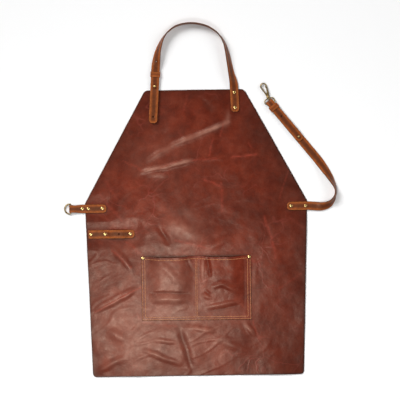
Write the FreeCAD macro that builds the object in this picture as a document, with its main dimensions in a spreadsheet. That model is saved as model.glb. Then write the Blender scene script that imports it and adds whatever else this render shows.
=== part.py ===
import FreeCAD, Part
import math
import os
import Sketcher

os.makedirs("parts", exist_ok=True)

# Leather bib apron lying on its back, millimetres.
# +Z comes up out of the apron's front, +Y runs towards the neck loop, +X to the wearer's left.
# The origin is the middle of the panel's back face: z = 0 is the surface that the apron lies on.

V = FreeCAD.Vector
UP = V(0, 0, 1)

doc = FreeCAD.newDocument("Apron")
sheet = doc.addObject("Spreadsheet::Sheet", "Sheet")

driving = {
    # panel
    "panel_length": 800, "top_width": 278, "waist_width": 622, "hem_width": 590, "waist_level": 86,
    "panel_thick": 2, "top_corner": 13, "hem_corner": 10,
    # straps
    "strap_width": 24, "strap_thick": 3, "strap_round": 10, "fold_width": 20.5, "fold_thick": 2.4,
    "keeper_wall": 1.6, "keeper_length": 15, "keeper_play": 0.2,
    # rivets and studs
    "cap_dia": 9, "cap_rise": 1.9, "shank_dia": 3, "hole_play": 0.1, "back_dia": 8, "back_thick": 0.6,
    "stud_head": 8, "stud_neck": 4.6, "screw_dia": 3, "screw_head": 9, "screw_rise": 1.4,
    "punch_dia": 4,
    # neck strap: where it is riveted on the right, and where it is buttoned on the left
    "neck_right_x": 113.6, "neck_right_y": 336.6, "neck_right_turn": 92.3, "neck_right_flat": 66,
    "neck_left_x": -110.7, "neck_left_y": 410.6, "neck_left_turn": 86.4,
    "tail_length": 103, "tail_lift": 2.2, "neck_flat": 52, "short_below": 64, "short_above": 45,
    "neck_keeper_at": 33.6,
    # ring tab on the left of the waist
    "tab_end": -250.7, "tab_level": 71.3, "tab_bar": -350.5,
    "ring_wire": 4, "ring_half": 13.7, "ring_side": 3.4, "wire_bend": 2.8,
    # tool strip on the left thigh
    "strip_left": -302.4, "strip_right": -173.1, "strip_level": -0.6, "strip_rise": 6.5,
    # pocket
    "pocket_width": 307, "pocket_height": 180, "pocket_middle": -2.3, "pocket_top": -64.5,
    "pocket_thick": 1.6, "pocket_bulge": 6, "flange": 11, "divider": 10,
    "edge_row": 2.5, "inner_row": 10, "hem_row": 8, "hem_row_gap": 1.5, "divider_rows": 4,
    "pocket_rivet_inset": 4.8,
    "stitch_pitch": 4, "stitch_length": 3, "thread": 0.8,
    # waist strap on the right
    "anchor_end": 253.9, "anchor_level": 71, "anchor_flat": 64,
    "fold_x": 206.8, "fold_y": 366, "fold_turn": -50.8, "waist_flat": 205, "foldback": 143,
    "waist_keeper_at": 24, "waist_stud_at": 131,
    # snap hook
    "hook_turn": 110, "hook_height": 4.7, "bar_at": 7.85, "eye_wire": 3.2, "eye_half": 14.1, "eye_top": 13.1,
    "eye_shoulder": 8, "collar_dia": 8, "collar_sink": 0.4, "collar_end": 15, "stem_dia": 3.2,
    "ball_at": 18.6, "ball_dia": 9.2,
    "hook_wire": 3.8, "hook_radius": 7.9, "hook_reach": 31.5, "hook_side": 1.4, "nose_at": 28.6,
    "pivot_at": 8, "pivot_side": -2.2, "pin_dia": 2, "gate_thick": 5.4, "gate_width": 3,
}
for row, (alias, value) in enumerate(driving.items(), 1):
    sheet.set("A%d" % row, alias)
    sheet.set("B%d" % row, str(value))
    sheet.setAlias("B%d" % row, alias)
doc.recompute()


def size(alias):
    """A driving dimension as a plain number."""
    return float(sheet.get(alias))


# ---- helpers -------------------------------------------------------------

def worked(expression):
    """What an expression of the sheet comes to, as a plain number."""
    value = sheet.evalExpression(expression)
    return float(getattr(value, "Value", value))


def new_body(name, placement=FreeCAD.Placement()):
    body = doc.addObject("PartDesign::Body", name)
    body.Label = name
    body.AllowCompound = True
    body.Placement = placement
    return body


def sketch_at(body, name, placement=FreeCAD.Placement()):
    """A sketch on the body's own XY plane, moved and turned by placement."""
    sketch = body.newObject("Sketcher::SketchObject", name)
    plane = [item for item in body.Origin.OriginFeatures if item.Role == "XY_Plane"][0]
    sketch.AttachmentSupport = (plane, [""])
    sketch.MapMode = "FlatFace"
    sketch.AttachmentOffset = placement
    return sketch


def turned(x, y, z, degrees=0):
    """A placement at a point, turned about +Z."""
    return FreeCAD.Placement(V(x, y, z), FreeCAD.Rotation(UP, degrees))


def upright(x=0, y=0, z=0):
    """A sketch plane whose first axis is +X and second axis +Z, so that it pads along -Y."""
    return FreeCAD.Placement(V(x, y, z), FreeCAD.Rotation(V(1, 0, 0), 90))


def across(x=0, y=0, z=0):
    """A sketch plane square to +X, whose first axis is +Y and second axis +Z."""
    return FreeCAD.Placement(V(x, y, z), FreeCAD.Rotation(V(1, 1, 1), 120))


def bind(sketch, kind, first, second, expression):
    """Add a dimension that follows an expression of the sheet."""
    value = worked(expression)
    if second is None:
        index = sketch.addConstraint(Sketcher.Constraint(kind, first, value))
    else:
        index = sketch.addConstraint(Sketcher.Constraint(kind, -1, 1, first, second, value))
    sketch.setExpression("Constraints[%d]" % index, expression)


def outline(sketch, points, closed=True):
    """An outline through points that are pairs of expressions. A third item makes the stretch to the
    next point an arc: its rise over half its chord, + to the right of the way and - to the left."""
    flat = [V(worked(point[0]), worked(point[1]), 0) for point in points]
    first = sketch.GeometryCount
    stretches = len(points) if closed else len(points) - 1
    for index, point in enumerate(points[:stretches]):
        a = flat[index]
        b = flat[(index + 1) % len(points)]
        if len(point) == 2:
            sketch.addGeometry(Part.LineSegment(a, b))
            continue
        way = b - a
        side = V(way.y, -way.x, 0) * (0.5 * point[2])
        sketch.addGeometry(Part.Arc(a, (a + b) * 0.5 + side, b))
    for index, point in enumerate(points[:stretches]):
        here = first + index
        start = arc_ends(sketch, here)[0]
        if closed or index > 0:
            before = first + (index - 1) % len(points)
            end = arc_ends(sketch, before)[1]
            sketch.addConstraint(Sketcher.Constraint("Coincident", before, end, here, start))
        bind(sketch, "DistanceX", here, start, point[0])
        bind(sketch, "DistanceY", here, start, point[1])
    if not closed:
        last = first + stretches - 1
        end = arc_ends(sketch, last)[1]
        bind(sketch, "DistanceX", last, end, points[-1][0])
        bind(sketch, "DistanceY", last, end, points[-1][1])


def arc_ends(sketch, index):
    """Which end of an edge the outline enters by and leaves by. A clockwise arc is stored turned
    round, so its ends are swapped."""
    edge = sketch.Geometry[index]
    if isinstance(edge, Part.LineSegment):
        return 1, 2
    return (1, 2) if edge.Axis.z > 0 else (2, 1)


def circle(sketch, x, y, diameter):
    """A circle whose centre and diameter are expressions."""
    at = V(worked(x), worked(y), 0)
    index = sketch.addGeometry(Part.Circle(at, UP, worked(diameter) / 2))
    bind(sketch, "DistanceX", index, 3, x)
    bind(sketch, "DistanceY", index, 3, y)
    bind(sketch, "Diameter", index, None, diameter)


def pad(body, sketch, length, centred=False):
    """Raise a sketch by an expression, on one side of it or half on each side."""
    feature = body.newObject("PartDesign::Pad", sketch.Name + "_pad")
    feature.Profile = sketch
    if centred:
        feature.SideType = "Symmetric"
    feature.setExpression("Length", length)
    doc.recompute()
    return feature


def pocket(body, sketch, length=None, centred=False, reverse=True):
    """Cut a sketch through the body on both sides of it, or by an expression: up along +Z from the
    sketch, half on each side of it, or down."""
    before = body.Shape.Volume
    feature = body.newObject("PartDesign::Pocket", sketch.Name + "_cut")
    feature.Profile = sketch
    if length is None:
        feature.Type = "ThroughAll"
        feature.SideType = "Symmetric"
    else:
        feature.SideType = "Symmetric" if centred else "One side"
        feature.Reversed = reverse
        feature.setExpression("Length", length)
    doc.recompute()
    if feature.Shape.Volume >= before - 1e-6:
        raise ValueError(sketch.Name + " cuts nothing")
    return feature


def turn(body, sketch):
    """Turn a sketch full circle about its own second axis."""
    feature = body.newObject("PartDesign::Revolution", sketch.Name + "_turn")
    feature.Profile = sketch
    feature.ReferenceAxis = (sketch, ["V_Axis"])
    feature.Angle = 360
    doc.recompute()
    return feature


def fillet(body, radius, chosen):
    """Round the edges of the body's tip that chosen picks by their middle and direction."""
    base = body.Tip
    names = []
    for index, edge in enumerate(base.Shape.Edges, 1):
        if len(edge.Vertexes) < 2:
            continue
        a, b = edge.Vertexes[0].Point, edge.Vertexes[-1].Point
        if chosen((a + b) * 0.5, b - a):
            names.append("Edge%d" % index)
    feature = body.newObject("PartDesign::Fillet", base.Name + "_round")
    feature.Base = (base, names)
    feature.setExpression("Radius", radius)
    doc.recompute()
    return feature


def standing(way):
    """True for an edge that runs along +Z."""
    return abs(way.x) + abs(way.y) < 1e-4 and abs(way.z) > 1e-4


def place(along, turned_by, start):
    """The point at a distance from start, in a direction given in degrees from +X."""
    angle = math.radians(turned_by)
    return V(start[0] + along * math.cos(angle), start[1] + along * math.sin(angle), 0)


def eased(route, steps):
    """More stops along a smooth curve through those of a route."""
    numbers = list(range(len(route)))
    plan = Part.BSplineCurve()
    plan.interpolate(Points=[V(stop[0], stop[1], 0) for stop in route], Parameters=numbers)
    pose = Part.BSplineCurve()
    pose.interpolate(Points=[V(route[number][2], route[number][3], number) for number in numbers],
                     Parameters=numbers)
    stops = []
    for number in range((len(route) - 1) * steps + 1):
        at = number / steps
        spot, tilt, way = plan.value(at), pose.value(at), plan.tangent(at)[0]
        stops.append((spot, min(90, max(0, tilt.x)), max(0, tilt.y), way))
    return stops


def band(body, name, route, first_way, last_way, crown=None):
    """A strap that rolls as it goes: lofts through its cross-sections.
    Each stop of the route is x, y, roll in degrees and the height of its lowest edge. At roll 0 it
    lies flat with its grain up; at roll 90 it stands on edge with its grain facing out. A long loop
    is lofted in two halves that meet at the stop numbered crown."""
    wide, thick, steps = size("strap_width"), size("strap_thick"), 2
    stops = eased(route, steps)
    sections = []
    for index, (spot, roll, low, way) in enumerate(stops):
        if index == 0:
            way = first_way
        elif index == len(stops) - 1:
            way = last_way
        outward = way.cross(UP)
        lean = math.radians(roll)
        inner_edge = UP * math.sin(lean) - outward * math.cos(lean)
        grain = UP * math.cos(lean) + outward * math.sin(lean)
        middle = spot + UP * (low + (wide * math.sin(lean) + thick * math.cos(lean)) / 2)
        offset = FreeCAD.Placement(middle, FreeCAD.Rotation(inner_edge, grain, way, "ZXY"))
        section = sketch_at(body, "%s_section_%02d" % (name, index), offset)
        outline(section, [("-Sheet.strap_width / 2", "-Sheet.strap_thick / 2"),
                          ("Sheet.strap_width / 2", "-Sheet.strap_thick / 2"),
                          ("Sheet.strap_width / 2", "Sheet.strap_thick / 2"),
                          ("-Sheet.strap_width / 2", "Sheet.strap_thick / 2")])
        sections.append(section)
    halves = [sections] if crown is None else [sections[:crown * steps + 1], sections[crown * steps:]]
    for number, half_sections in enumerate(halves):
        loft = body.newObject("PartDesign::AdditiveLoft", "%s_loft_%d" % (name, number))
        loft.Profile = half_sections[0]
        loft.Sections = half_sections[1:]
        loft.Ruled = True
        doc.recompute()
    return sections


def wire_along(body, section, path):
    """Sweep a wire's section along a path sketch."""
    sweep = body.newObject("PartDesign::AdditivePipe", path.Name + "_sweep")
    sweep.Profile = section
    sweep.Spine = (path, [])
    sweep.Transition = "Transformed"
    doc.recompute()
    return sweep


def strip_outline(sketch, left, right, width="Sheet.strap_width"):
    """A straight piece of strap in plan, along +X, between two expressions."""
    outline(sketch, [(left, "-%s / 2" % width), (right, "-%s / 2" % width),
                     (right, "%s / 2" % width), (left, "%s / 2" % width)])


def rivet_caps(name, spots, seat):
    """Domed caps with their shanks. spots are x, y and the height of the leather under the cap;
    seat is the height of the back cap that the shank reaches down to."""
    body = new_body(name)
    for index, (x, y, top) in enumerate(spots):
        spot = FreeCAD.Placement(V(x, y, 0), FreeCAD.Rotation(V(1, 0, 0), 90))
        profile = sketch_at(body, "%s_%d" % (name, index), spot)
        outline(profile, [("0", seat), ("Sheet.shank_dia / 2", seat),
                          ("Sheet.shank_dia / 2", str(top)), ("Sheet.cap_dia / 2", str(top)),
                          ("Sheet.cap_dia / 2", "%g + Sheet.cap_rise * 0.35" % top),
                          ("Sheet.cap_dia * 0.36", "%g + Sheet.cap_rise * 0.8" % top),
                          ("Sheet.cap_dia * 0.16", "%g + Sheet.cap_rise" % top),
                          ("0", "%g + Sheet.cap_rise" % top)])
        turn(body, profile)
    return body


def rivet_backs(name, spots):
    """Flat back caps, each sunk flush into its counterbore on the apron's back."""
    body = new_body(name)
    for index, spot in enumerate(spots):
        disc = sketch_at(body, "%s_%d" % (name, index), turned(spot[0], spot[1], 0))
        circle(disc, "0", "0", "Sheet.back_dia")
        pad(body, disc, "Sheet.back_thick")
    return body


def rivet_holes(body, name, spots, counterbore=True):
    """Shank holes through a piece, and the counterbores for the back caps."""
    holes = sketch_at(body, name + "_holes")
    for spot in spots:
        circle(holes, "%g" % spot[0], "%g" % spot[1], "Sheet.shank_dia + Sheet.hole_play")
    pocket(body, holes)
    if counterbore:
        sinks = sketch_at(body, name + "_sinks")
        for spot in spots:
            circle(sinks, "%g" % spot[0], "%g" % spot[1], "Sheet.back_dia + Sheet.hole_play")
        pocket(body, sinks, "Sheet.back_thick")


# ---- where the rivets go ---------------------------------------------------

on_panel = size("panel_thick")
on_strap = on_panel + size("strap_thick")
on_pocket = on_panel + size("pocket_thick")


def along_strap(start, turned_by, distances, top):
    """Spots along a strap's middle line."""
    spots = []
    for distance in distances:
        point = place(distance, turned_by, start)
        spots.append((round(point.x, 2), round(point.y, 2), top))
    return spots


neck_right = (size("neck_right_x"), size("neck_right_y"))
neck_left = (size("neck_left_x"), size("neck_left_y"))
fold_tip = (size("fold_x"), size("fold_y"))

neck_right_spots = along_strap(neck_right, size("neck_right_turn"), (12, 54.3), on_strap)
neck_left_spots = along_strap(neck_left, size("neck_left_turn"), (-22, -52), on_strap)
waist_spots = [(265.4, size("anchor_level"), on_strap), (306.3, size("anchor_level"), on_strap)]
tab_spots = [(-262.2, size("tab_level"), on_strap), (-301.9, size("tab_level"), on_strap)]
tab_bar_spot = (-318.5, size("tab_level"), 5.7)
strip_spots = [(x, size("strip_level"), on_strap) for x in (-295.4, -256, -185.1)]
pocket_edge = size("pocket_width") / 2 - size("pocket_rivet_inset")
pocket_rivet_level = size("pocket_top") - size("pocket_rivet_inset")
pocket_spots = [(size("pocket_middle") + side * pocket_edge, pocket_rivet_level, on_pocket)
                for side in (-1, 1)]


# ---- the apron's panel -------------------------------------------------------

panel = new_body("apron_panel")
cut = sketch_at(panel, "panel_outline")
outline(cut, [("-Sheet.hem_width / 2", "-Sheet.panel_length / 2"),
              ("Sheet.hem_width / 2", "-Sheet.panel_length / 2"),
              ("Sheet.waist_width / 2", "Sheet.waist_level"),
              ("Sheet.top_width / 2", "Sheet.panel_length / 2"),
              ("-Sheet.top_width / 2", "Sheet.panel_length / 2"),
              ("-Sheet.waist_width / 2", "Sheet.waist_level")])
pad(panel, cut, "Sheet.panel_thick")
half = size("panel_length") / 2
fillet(panel, "Sheet.top_corner", lambda middle, way: standing(way) and middle.y > half - 1)
fillet(panel, "Sheet.hem_corner", lambda middle, way: standing(way) and middle.y < 1 - half)
rivet_holes(panel, "panel", neck_right_spots + neck_left_spots + waist_spots + tab_spots
            + strip_spots + pocket_spots)


# ---- the pocket: one sheet sewn down on three sides and up the middle ---------

pocket_left = size("pocket_middle") - size("pocket_width") / 2
pocket_panel = new_body("pocket_panel", turned(pocket_left, 0, on_panel))
mouths = []
for index, (below, lift) in enumerate(((0, "Sheet.pocket_bulge"), (0.45, "Sheet.pocket_bulge * 0.75"),
                                       (0.9, "Sheet.pocket_bulge * 0.06"))):
    level = size("pocket_top") - below * size("pocket_height")
    mouth = sketch_at(pocket_panel, "pocket_section_%d" % index, upright(y=level))
    half_span = "(Sheet.pocket_width / 2 - Sheet.divider / 2 - Sheet.flange)"
    edges = ["0", "Sheet.flange", "Sheet.flange + %s * 0.3" % half_span,
             "Sheet.flange + %s * 0.7" % half_span,
             "Sheet.pocket_width / 2 - Sheet.divider / 2", "Sheet.pocket_width / 2 + Sheet.divider / 2",
             "Sheet.pocket_width - Sheet.flange - %s * 0.7" % half_span,
             "Sheet.pocket_width - Sheet.flange - %s * 0.3" % half_span,
             "Sheet.pocket_width - Sheet.flange", "Sheet.pocket_width"]
    raised = (2, 3, 6, 7)
    under = [(edge, lift if number in raised else "0") for number, edge in enumerate(edges)]
    over = [(edge, "Sheet.pocket_thick + (%s)" % height) for edge, height in reversed(under)]
    outline(mouth, under + over)
    mouths.append(mouth)
bag = pocket_panel.newObject("PartDesign::AdditiveLoft", "pocket_loft")
bag.Profile = mouths[0]
bag.Sections = mouths[1:]
bag.Ruled = True
doc.recompute()
foot = sketch_at(pocket_panel, "pocket_foot", turned(0, size("pocket_top"), 0))
outline(foot, [("0", "-Sheet.pocket_height"), ("Sheet.pocket_width", "-Sheet.pocket_height"),
               ("Sheet.pocket_width", "-Sheet.pocket_height * 0.9"), ("0", "-Sheet.pocket_height * 0.9")])
pad(pocket_panel, foot, "Sheet.pocket_thick")
rivet_holes(pocket_panel, "pocket_panel", [(x - pocket_left, y) for x, y, top in pocket_spots], False)


def pocket_rise(x, y):
    """How far the pocket's sheet stands off the panel at a place."""
    down = (size("pocket_top") - y) / size("pocket_height")
    if down < 0.45:
        lift = size("pocket_bulge") * (1 - 0.25 * down / 0.45)
    else:
        lift = size("pocket_bulge") * max(0, 0.75 - 0.69 * (down - 0.45) / 0.45)
    span = size("pocket_width") / 2 - size("divider") / 2 - size("flange")
    aside = abs(x - size("pocket_middle")) - size("divider") / 2
    share = min(aside, span - aside) / (0.3 * span)
    return lift * max(0, min(1, share))


def stitch_row(start, end):
    """Separate stitches from start to end, each lying on the pocket's sheet."""
    reach = end - start
    count = int(reach.Length // size("stitch_pitch"))
    length, thick = size("stitch_length"), size("thread")
    stitches = []
    for number in range(count):
        point = start + reach * ((number + 0.5) / count)
        stitch = Part.makeBox(length, thick, thick, V(-length / 2, -thick / 2, -thick / 2))
        ahead = pocket_rise(point.x + 1, point.y) - pocket_rise(point.x - 1, point.y)
        slope = -math.degrees(math.atan2(ahead, 2)) if abs(reach.y) < 1e-6 else 0
        stitch.rotate(V(0, 0, 0), V(0, 1, 0), slope)
        stitch.rotate(V(0, 0, 0), UP, math.degrees(math.atan2(reach.y, reach.x)))
        stitch.translate(V(point.x, point.y, on_pocket + pocket_rise(point.x, point.y) + 0.1))
        stitches.append(stitch)
    return stitches


def stitching(name, rows):
    feature = doc.addObject("Part::Feature", name)
    feature.Label = name
    feature.Shape = Part.makeCompound([stitch for start, end in rows for stitch in stitch_row(start, end)])
    feature.Placement = FreeCAD.Placement()
    return feature


def seam(inset, foot_inset, top_gap):
    """Three rows down the pocket's sides and along its foot."""
    middle, half_width = size("pocket_middle"), size("pocket_width") / 2 - inset
    top = size("pocket_top") - top_gap
    low = size("pocket_top") - size("pocket_height") + foot_inset
    left, right = middle - half_width, middle + half_width
    return [(V(left, top, 0), V(left, low, 0)), (V(left, low, 0), V(right, low, 0)),
            (V(right, low, 0), V(right, top, 0))]


edge_row, inner_row = size("edge_row"), size("inner_row")
stitching("pocket_edge_stitching", seam(edge_row, edge_row, 10))
stitching("pocket_inner_stitching", seam(inner_row, inner_row - 1, 10))
hem_level = size("pocket_top") - size("hem_row")
hem_half = size("pocket_width") / 2 - size("pocket_rivet_inset") - size("cap_dia") / 2 - size("hem_row_gap")
stitching("pocket_hem_stitching", [(V(size("pocket_middle") - hem_half, hem_level, 0),
                                    V(size("pocket_middle") + hem_half, hem_level, 0))])
divider_foot = size("pocket_top") - size("pocket_height") + inner_row + 1
stitching("pocket_divider_stitching",
          [(V(size("pocket_middle") + side * size("divider_rows") / 2, hem_level - 3, 0),
            V(size("pocket_middle") + side * size("divider_rows") / 2, divider_foot, 0)) for side in (-1, 1)])


# ---- neck strap ----------------------------------------------------------------

neck = new_body("neck_strap")
right_turn, left_turn = size("neck_right_turn"), size("neck_left_turn")
anchor = sketch_at(neck, "neck_anchor", turned(neck_right[0], neck_right[1], on_panel, right_turn))
strip_outline(anchor, "0", "Sheet.neck_right_flat")
pad(neck, anchor, "Sheet.strap_thick")
fillet(neck, "Sheet.strap_round", lambda middle, way: standing(way) and middle.y < neck_right[1] + 4)
rivet_holes(neck, "neck_anchor", neck_right_spots, False)

tail_plane = FreeCAD.Placement(V(neck_left[0], neck_left[1], 0), FreeCAD.Rotation(UP, left_turn))
tail_side = tail_plane.multiply(upright())
tail = sketch_at(neck, "neck_tail", tail_side)
tail_low = "Sheet.panel_thick + Sheet.strap_thick"
tail_raised = tail_low + " + Sheet.tail_lift"
tail_path = [("-Sheet.tail_length", tail_raised), ("-16", tail_raised), ("-8", tail_low),
             ("Sheet.neck_flat", tail_low)]
outline(tail, tail_path + [(x, "%s + Sheet.strap_thick" % low) for x, low in reversed(tail_path)])
pad(neck, tail, "Sheet.strap_width", centred=True)
tip_y = neck_left[1] - size("tail_length")
fillet(neck, "Sheet.strap_round", lambda middle, way: standing(way) and middle.y < tip_y + 4)

flat_right = place(size("neck_right_flat"), right_turn, neck_right)
flat_left = place(size("neck_flat"), left_turn, neck_left)
neck_route = [
    (flat_right.x, flat_right.y, 0, 2), (110.3, 414, 14, 1.4), (108, 427, 32, 0.6), (104, 443.5, 46, 0),
    (101, 460, 52, 0), (97.8, 477, 57, 0), (94.8, 494, 62, 0), (91, 511, 68, 0), (86, 528, 75, 0),
    (77, 545, 82, 0), (61.5, 562, 88, 0), (34, 578, 90, 0), (-7, 585.6, 90, 0), (-46, 579, 90, 0),
    (-70.5, 563, 87, 0), (-84.3, 546.5, 78, 0), (-92.5, 530, 66, 0), (-98.8, 513, 53, 0.1),
    (-102.8, 496.5, 40, 0.8), (-105.4, 480, 22, 2.8), (flat_left.x, flat_left.y, 0, 5)]
neck_sections = band(neck, "neck_loop", neck_route, place(1, right_turn, (0, 0)),
                     place(1, left_turn + 180, (0, 0)), crown=12)


def punched(body, name, placements):
    """Round punched holes, each square to the strap where its sketch lies."""
    for index, placement in enumerate(placements):
        hole = sketch_at(body, "%s_%d" % (name, index), placement)
        circle(hole, "0", "0", "Sheet.punch_dia")
        pocket(body, hole, "Sheet.strap_thick * 3", centred=True)


through_face = FreeCAD.Placement(V(0, 0, 0), FreeCAD.Rotation(V(1, 0, 0), 90))
loop_holes = [neck_sections[number].AttachmentOffset.multiply(through_face) for number in (34, 38)]
tail_tip = place(-85, left_turn, neck_left)
punched(neck, "neck_hole", loop_holes + [turned(tail_tip.x, tail_tip.y, 8.7)])
button = sketch_at(neck, "neck_button_hole", turned(neck_left[0], neck_left[1], 0))
circle(button, "0", "0", "Sheet.stud_neck + Sheet.hole_play * 2")
pocket(neck, button)

short = new_body("neck_short_strap")
short_plan = sketch_at(short, "short_outline", turned(neck_left[0], neck_left[1], on_panel, left_turn))
strip_outline(short_plan, "-Sheet.short_below", "Sheet.short_above")
pad(short, short_plan, "Sheet.strap_thick")
fillet(short, "Sheet.strap_round", lambda middle, way: standing(way))
short_holes = [(neck_left[0], neck_left[1])] + neck_left_spots
rivet_holes(short, "short", short_holes, False)


def keeper(name, x, y, degrees, stack):
    """A leather loop round two thicknesses of strap. stack is the height of the stack, from the
    panel's face, as an expression."""
    body = new_body(name, turned(x, y, 0, degrees))
    ring = sketch_at(body, name + "_ring", across())
    wide = "(Sheet.strap_width / 2 + Sheet.keeper_play)"
    low = "(Sheet.panel_thick - Sheet.keeper_play)"
    high = "(Sheet.panel_thick + %s + Sheet.keeper_play)" % stack
    outline(ring, [("-%s - Sheet.keeper_wall" % wide, low + " - Sheet.keeper_wall"),
                   ("%s + Sheet.keeper_wall" % wide, low + " - Sheet.keeper_wall"),
                   ("%s + Sheet.keeper_wall" % wide, high + " + Sheet.keeper_wall"),
                   ("-%s - Sheet.keeper_wall" % wide, high + " + Sheet.keeper_wall")])
    outline(ring, [("-" + wide, low), (wide, low), (wide, high), ("-" + wide, high)])
    pad(body, ring, "Sheet.keeper_length", centred=True)
    return body


def stud(name, x, y, seat, grip):
    """A ball stud that the upper strap buttons over. seat is where it stands, grip how far its neck
    goes up before the ball, both expressions."""
    body = new_body(name, turned(x, y, 0))
    profile = sketch_at(body, name + "_profile", upright())
    neck_radius, ball = "Sheet.stud_neck / 2", "Sheet.stud_head / 2"
    top = "(%s + %s)" % (seat, grip)
    bore = "(Sheet.screw_dia + Sheet.hole_play) / 2"
    outline(profile, [(bore, seat), (neck_radius, seat), (neck_radius, top),
                      (ball + " * 0.94", top + " + 1.3"),
                      (ball, top + " + 2.6"), (ball + " * 0.9", top + " + 4.4"),
                      (ball + " * 0.55", top + " + 5.6"), ("0", top + " + 6"), ("0", top), (bore, top)])
    turn(body, profile)
    return body


def stud_screw(name, x, y, seat, length):
    """The screw behind a stud: a flat head under the lower strap and a shank up into the stud."""
    body = new_body(name, turned(x, y, 0))
    profile = sketch_at(body, name + "_profile", upright())
    low, high = "%s - Sheet.screw_rise" % seat, "%s + %s" % (seat, length)
    outline(profile, [("0", low), ("Sheet.screw_head / 2", low), ("Sheet.screw_head / 2", seat),
                      ("Sheet.screw_dia / 2", seat), ("Sheet.screw_dia / 2", high), ("0", high)])
    turn(body, profile)
    return body


neck_keeper_spot = place(size("neck_keeper_at"), left_turn, neck_left)
keeper("neck_keeper", neck_keeper_spot.x, neck_keeper_spot.y, left_turn, "Sheet.strap_thick * 2")
stud("neck_stud", neck_left[0], neck_left[1], tail_low, "Sheet.strap_thick + 0.2")
stud_screw("neck_stud_screw", neck_left[0], neck_left[1], "Sheet.panel_thick", "Sheet.strap_thick * 2")
neck_spots = neck_right_spots + neck_left_spots
rivet_caps("neck_rivet_caps", neck_spots, "Sheet.back_thick")
rivet_backs("neck_rivet_backs", neck_spots)


# ---- ring tab on the left of the waist ------------------------------------------

tab = new_body("ring_tab", turned(size("tab_bar"), size("tab_level"), 0))
end = "Sheet.tab_end - Sheet.tab_bar"
leather, tunnel = "Sheet.fold_thick", "Sheet.ring_wire + 0.3"
tunnel_top = "%s + %s" % (leather, tunnel)
fold_top = "%s * 2 + %s" % (leather, tunnel)
side_view = sketch_at(tab, "tab_side", upright())
outline(side_view, [(end, "Sheet.panel_thick"), (end, tail_low), ("39", tail_low), ("36", "5.7"),
                    ("28", "5.7"),
                    ("4", fold_top), ("0", fold_top, 1), ("0", "0"), ("36.4", "0"), ("36.4", leather),
                    ("6", leather), ("0", leather, -1), ("0", tunnel_top), ("3.6", tunnel_top),
                    ("28", leather + " + 0.1"), ("37", leather + " + 0.1"), ("40.5", "Sheet.panel_thick")])
pad(tab, side_view, "Sheet.strap_width", centred=True)
fillet(tab, "Sheet.strap_round", lambda middle, way: standing(way) and middle.x > 98)
sides = sketch_at(tab, "tab_taper")
for side in ("", "-"):
    outline(sides, [("30", side + "Sheet.strap_width / 2"), ("6", side + "Sheet.fold_width / 2"),
                    ("-8", side + "Sheet.fold_width / 2"), ("-8", side + "(Sheet.strap_width / 2 + 2)"),
                    ("30", side + "(Sheet.strap_width / 2 + 2)")])
pocket(tab, sides)
rivet_holes(tab, "tab", [(x - size("tab_bar"), 0) for x, y, top in tab_spots + [tab_bar_spot]], False)
sink = sketch_at(tab, "tab_sink", turned(tab_bar_spot[0] - size("tab_bar"), 0, 0))
circle(sink, "0", "0", "Sheet.back_dia + Sheet.hole_play")
pocket(tab, sink, "Sheet.back_thick")
rivet_caps("tab_rivet_caps", tab_spots + [tab_bar_spot], "Sheet.back_thick")
rivet_backs("tab_rivet_backs", tab_spots + [tab_bar_spot])


# The D ring: a round wire swept along a straight bar, two short sides and a half circle.
ring_gap = size("fold_thick") + 0.15
ring_height = ring_gap + size("ring_wire") / 2
ring_tilt = math.degrees(math.asin(ring_gap / (size("ring_half") + size("ring_side"))))
d_ring = new_body("d_ring", FreeCAD.Placement(V(size("tab_bar"), size("tab_level"), ring_height),
                                              FreeCAD.Rotation(V(0, 1, 0), -ring_tilt)))
ring_path = sketch_at(d_ring, "ring_path")
quarter = math.tan(math.radians(22.5))
outline(ring_path, [("0", "Sheet.wire_bend - Sheet.ring_half"),
                    ("0", "Sheet.ring_half - Sheet.wire_bend", quarter),
                    ("-Sheet.wire_bend", "Sheet.ring_half"), ("-Sheet.ring_side", "Sheet.ring_half", 1),
                    ("-Sheet.ring_side", "-Sheet.ring_half"),
                    ("-Sheet.wire_bend", "-Sheet.ring_half", quarter)])
ring_wire = sketch_at(d_ring, "ring_wire_section", upright())
circle(ring_wire, "0", "0", "Sheet.ring_wire")
wire_along(d_ring, ring_wire, ring_path)


# ---- tool strip ---------------------------------------------------------------------

strip = new_body("tool_strip", turned(0, size("strip_level"), 0))
strip_side = sketch_at(strip, "strip_side", upright())
strip_shoulder = "Sheet.panel_thick + Sheet.strip_rise * 0.9"
strip_path = [("Sheet.strip_left", "Sheet.panel_thick"), ("-250", "Sheet.panel_thick"),
              ("-238", strip_shoulder),
              ("-221", "Sheet.panel_thick + Sheet.strip_rise"), ("-204", strip_shoulder),
              ("-191.5", "Sheet.panel_thick"), ("Sheet.strip_right", "Sheet.panel_thick")]
outline(strip_side, strip_path + [(x, "%s + Sheet.strap_thick" % low) for x, low in reversed(strip_path)])
pad(strip, strip_side, "Sheet.strap_width", centred=True)
fillet(strip, "Sheet.strap_round", lambda middle, way: standing(way) and middle.x > -180)
rivet_holes(strip, "strip", [(x, 0) for x, y, top in strip_spots], False)
punched(strip, "strip_hole", [turned(-216.5, 0, 10)])
rivet_caps("strip_rivet_caps", strip_spots, "Sheet.back_thick")
rivet_backs("strip_rivet_backs", strip_spots)

rivet_caps("pocket_rivet_caps", pocket_spots, "Sheet.back_thick")
rivet_backs("pocket_rivet_backs", pocket_spots)


# ---- waist strap -----------------------------------------------------------------------

waist = new_body("waist_strap")
waist_anchor = sketch_at(waist, "waist_anchor", turned(size("anchor_end"), size("anchor_level"), on_panel))
strip_outline(waist_anchor, "0", "Sheet.anchor_flat")
pad(waist, waist_anchor, "Sheet.strap_thick")
fillet(waist, "Sheet.strap_round", lambda middle, way: standing(way) and middle.x < size("anchor_end") + 4)
rivet_holes(waist, "waist_anchor", waist_spots, False)

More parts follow.
